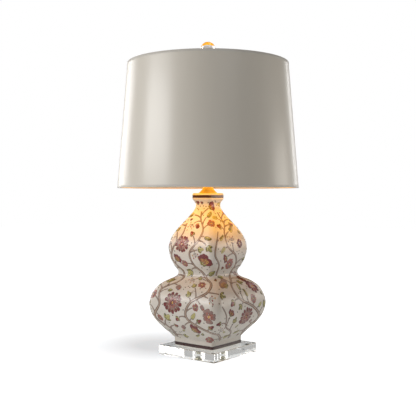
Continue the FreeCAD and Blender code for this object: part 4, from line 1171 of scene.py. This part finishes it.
band(gourd_low + BAND_FOOT, gourd_low + FOOT_BAND, "painted_foot_band")
band(gourd_high - LIP - RIM_BAND, gourd_high - LIP, "painted_rim_band")
print("bands", round(FOOT_BAND / MM, 1), "and", round(RIM_BAND / MM, 1), "mm high")

# %% [markdown]
# ## Stage and light
#
# The lamp stands on a white sweep. The sweep shows white to the eye and through the
# clear pieces, but only a third of that reaches the lamp as light from below, so the
# porcelain keeps its modelling. Near the base, round a point at its left, the sweep's white
# fades into a painted shadow, and the lamp's real shadow falls there too.

# %% Stage
FLOOR_WHITE = (0.62, 0.68, 0.74, 1)
THROUGH_BLOCK = 0.3
# Painted shadow on the floor: near SHADOW_CENTRE, left of the base, its white drops to this level, and it is
# full again beyond FAR_FLOOR.
PAINTED_SHADOW_LEVEL = 0.35
FLOOR_BOUNCE = 0.35
NEAR_FLOOR, FAR_FLOOR = 0.05, 0.30
SHADOW_CENTRE = (-0.15, 0.0, 0.0)


def stage_floor():
    """Large white plane that is only partly a light for the lamp."""
    bm = bmesh.new()
    bmesh.ops.create_grid(bm, x_segments=1, y_segments=1, size=6.0)
    mesh = bpy.data.meshes.new("floor")
    bm.to_mesh(mesh)
    bm.free()
    floor = bpy.data.objects.new("floor", mesh)
    scene.collection.objects.link(floor)
    material = bpy.data.materials.new("white floor")
    material.use_nodes = True
    tree = material.node_tree
    shader = tree.nodes["Principled BSDF"]
    shader.inputs["Base Color"].default_value = FLOOR_WHITE
    shader.inputs["Roughness"].default_value = 0.9
    shader.inputs["Specular IOR Level"].default_value = 0.0
    place = tree.nodes.new("ShaderNodeTexCoord")
    # Painted shadow: the emission fades towards SHADOW_CENTRE whether or not a real shadow falls there.
    far = node(tree, "ShaderNodeVectorMath", operation="DISTANCE")
    far.inputs[1].default_value = SHADOW_CENTRE
    lift = node(tree, "ShaderNodeMapRange", From_Min=NEAR_FLOOR, From_Max=FAR_FLOOR, To_Min=PAINTED_SHADOW_LEVEL,
                To_Max=1.0)
    rays = tree.nodes.new("ShaderNodeLightPath")
    through = node(tree, "ShaderNodeMath", operation="MULTIPLY")
    through.inputs[1].default_value = THROUGH_BLOCK
    share = node(tree, "ShaderNodeMapRange", To_Min=FLOOR_BOUNCE, To_Max=1.0)
    level = node(tree, "ShaderNodeMath", operation="MULTIPLY_ADD")
    wire(tree, (place, "Object", far, 0), (far, "Value", lift, "Value"),
         (rays, "Is Camera Ray", share, "Value"), (rays, "Is Transmission Ray", through, 0),
         (share, "Result", level, 0), (lift, "Result", level, 1), (through, 0, level, 2),
         (level, 0, shader, "Emission Strength"))
    shader.inputs["Emission Color"].default_value = (1, 1, 1, 1)
    dress(floor, material)
    print("sweep", floor.name)


stage_floor()

# %% [markdown]
# The world is the room round the sweep. The eye sees it white, clear pieces show a part
# of it, and it lights the lamp only faintly.

# %% World
WORLD_LIGHT = 0.04
WORLD_THROUGH_GLASS = 0.45


def white_world():
    """White background that lights less than it shows."""
    world = bpy.data.worlds.new("studio")
    scene.world = world
    world.use_nodes = True
    tree = world.node_tree
    background = tree.nodes["Background"]
    rays = tree.nodes.new("ShaderNodeLightPath")
    seen = node(tree, "ShaderNodeMath", operation="MAXIMUM")
    strength = node(tree, "ShaderNodeMapRange", To_Min=WORLD_LIGHT, To_Max=1.0)
    through = node(tree, "ShaderNodeMath", operation="MULTIPLY")
    through.inputs[1].default_value = WORLD_THROUGH_GLASS
    wire(tree, (rays, "Is Transmission Ray", through, 0), (rays, "Is Camera Ray", seen, 0),
         (through, 0, seen, 1), (seen, 0, strength, "Value"), (strength, "Result", background, "Strength"))
    background.inputs["Color"].default_value = (1, 1, 1, 1)


white_world()
print("world", scene.world.name)

# %% [markdown]
# A wide soft box at the left models the shade, one high in front fills it, a small one
# hangs above, and weak boxes at the sides and behind draw the edges. All their places are
# counted from the camera's own direction, as a photographer would set them.

# %% Soft boxes
def soft_box(name, azimuth, distance, height, size, power, colour=(1, 1, 1), aim=0.40):
    """Area lamp at an azimuth counted from the camera's own, facing the lamp's axis."""
    data = bpy.data.lights.new(name, "AREA")
    data.shape = "RECTANGLE"
    data.size, data.size_y = size
    data.energy = power
    data.color = colour
    lamp = bpy.data.objects.new(name, data)
    turn = CAMERA_AZIMUTH + math.radians(azimuth)
    lamp.location = (math.sin(turn) * distance, -math.cos(turn) * distance, height)
    facing = Vector((0, 0, aim)) - lamp.location
    lamp.rotation_euler = facing.to_track_quat("-Z", "Y").to_euler()
    scene.collection.objects.link(lamp)


soft_box("key box", -66, 2.1, 0.95, (1.4, 0.5), 26.5)
soft_box("left strip", -132, 1.7, 0.65, (0.8, 0.9), 9)
soft_box("front box", 30, 2.0, 1.9, (0.6, 0.6), 8)
soft_box("right box", 100, 1.8, 0.50, (0.9, 0.5), 6.5, (1.0, 0.95, 0.88), 0.2)
soft_box("right strip", 140, 1.7, 0.60, (0.20, 0.9), 4)
soft_box("top box", 80, 0.60, 2.3, (0.7, 0.7), 3)
print("soft boxes", len(bpy.data.lights))

# %% [markdown]
# The bulb itself is a small amber lamp. What the foil throws down on the neck comes from
# all round, so a ring of spots inside the shade stands for it. The bounces are raised,
# because light takes many turns inside the clear block.

# %% Light of the bulb and the foil
BLOCK_BOUNCES = 24
AMBER = (1.0, 0.50, 0.01)
BULB_HEART = 0.03
BULB_POWER, BULB_SIZE = 7.5, 0.03
RING_LAMPS = 8
RING_POWER, RING_SIZE = 0.5, 0.02
RING_CONE, RING_BLEND = math.radians(54), 0.6
RING_RADIUS = 0.15
RING_HEIGHT = 0.44
RING_AIM = Vector((0, 0, 0.285))


def amber_lamp(kind, place, power, softness):
    """Amber lamp that lights the pieces but isn't seen, aimed at the neck."""
    data = bpy.data.lights.new("amber light", kind)
    data.energy = power
    data.color = AMBER
    data.shadow_soft_size = softness
    lamp = bpy.data.objects.new("amber light", data)
    lamp.location = place
    lamp.rotation_euler = (RING_AIM - lamp.location).to_track_quat("-Z", "Y").to_euler()
    lamp.visible_camera = False
    lamp.visible_glossy = False
    scene.collection.objects.link(lamp)
    return data


amber_lamp("POINT", (0, 0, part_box("bulb_glass")[1].z - BULB_HEART), BULB_POWER, BULB_SIZE)
for number in range(RING_LAMPS):
    turn = 2 * math.pi * number / RING_LAMPS
    place = (RING_RADIUS * math.cos(turn), RING_RADIUS * math.sin(turn), RING_HEIGHT)
    beam = amber_lamp("SPOT", place, RING_POWER, RING_SIZE)
    beam.spot_size = RING_CONE
    beam.spot_blend = RING_BLEND
scene.view_settings.view_transform = "Standard"
scene.cycles.max_bounces = BLOCK_BOUNCES
scene.cycles.glossy_bounces = BLOCK_BOUNCES
scene.cycles.transmission_bounces = BLOCK_BOUNCES
print("lamps in all", len(bpy.data.lights))
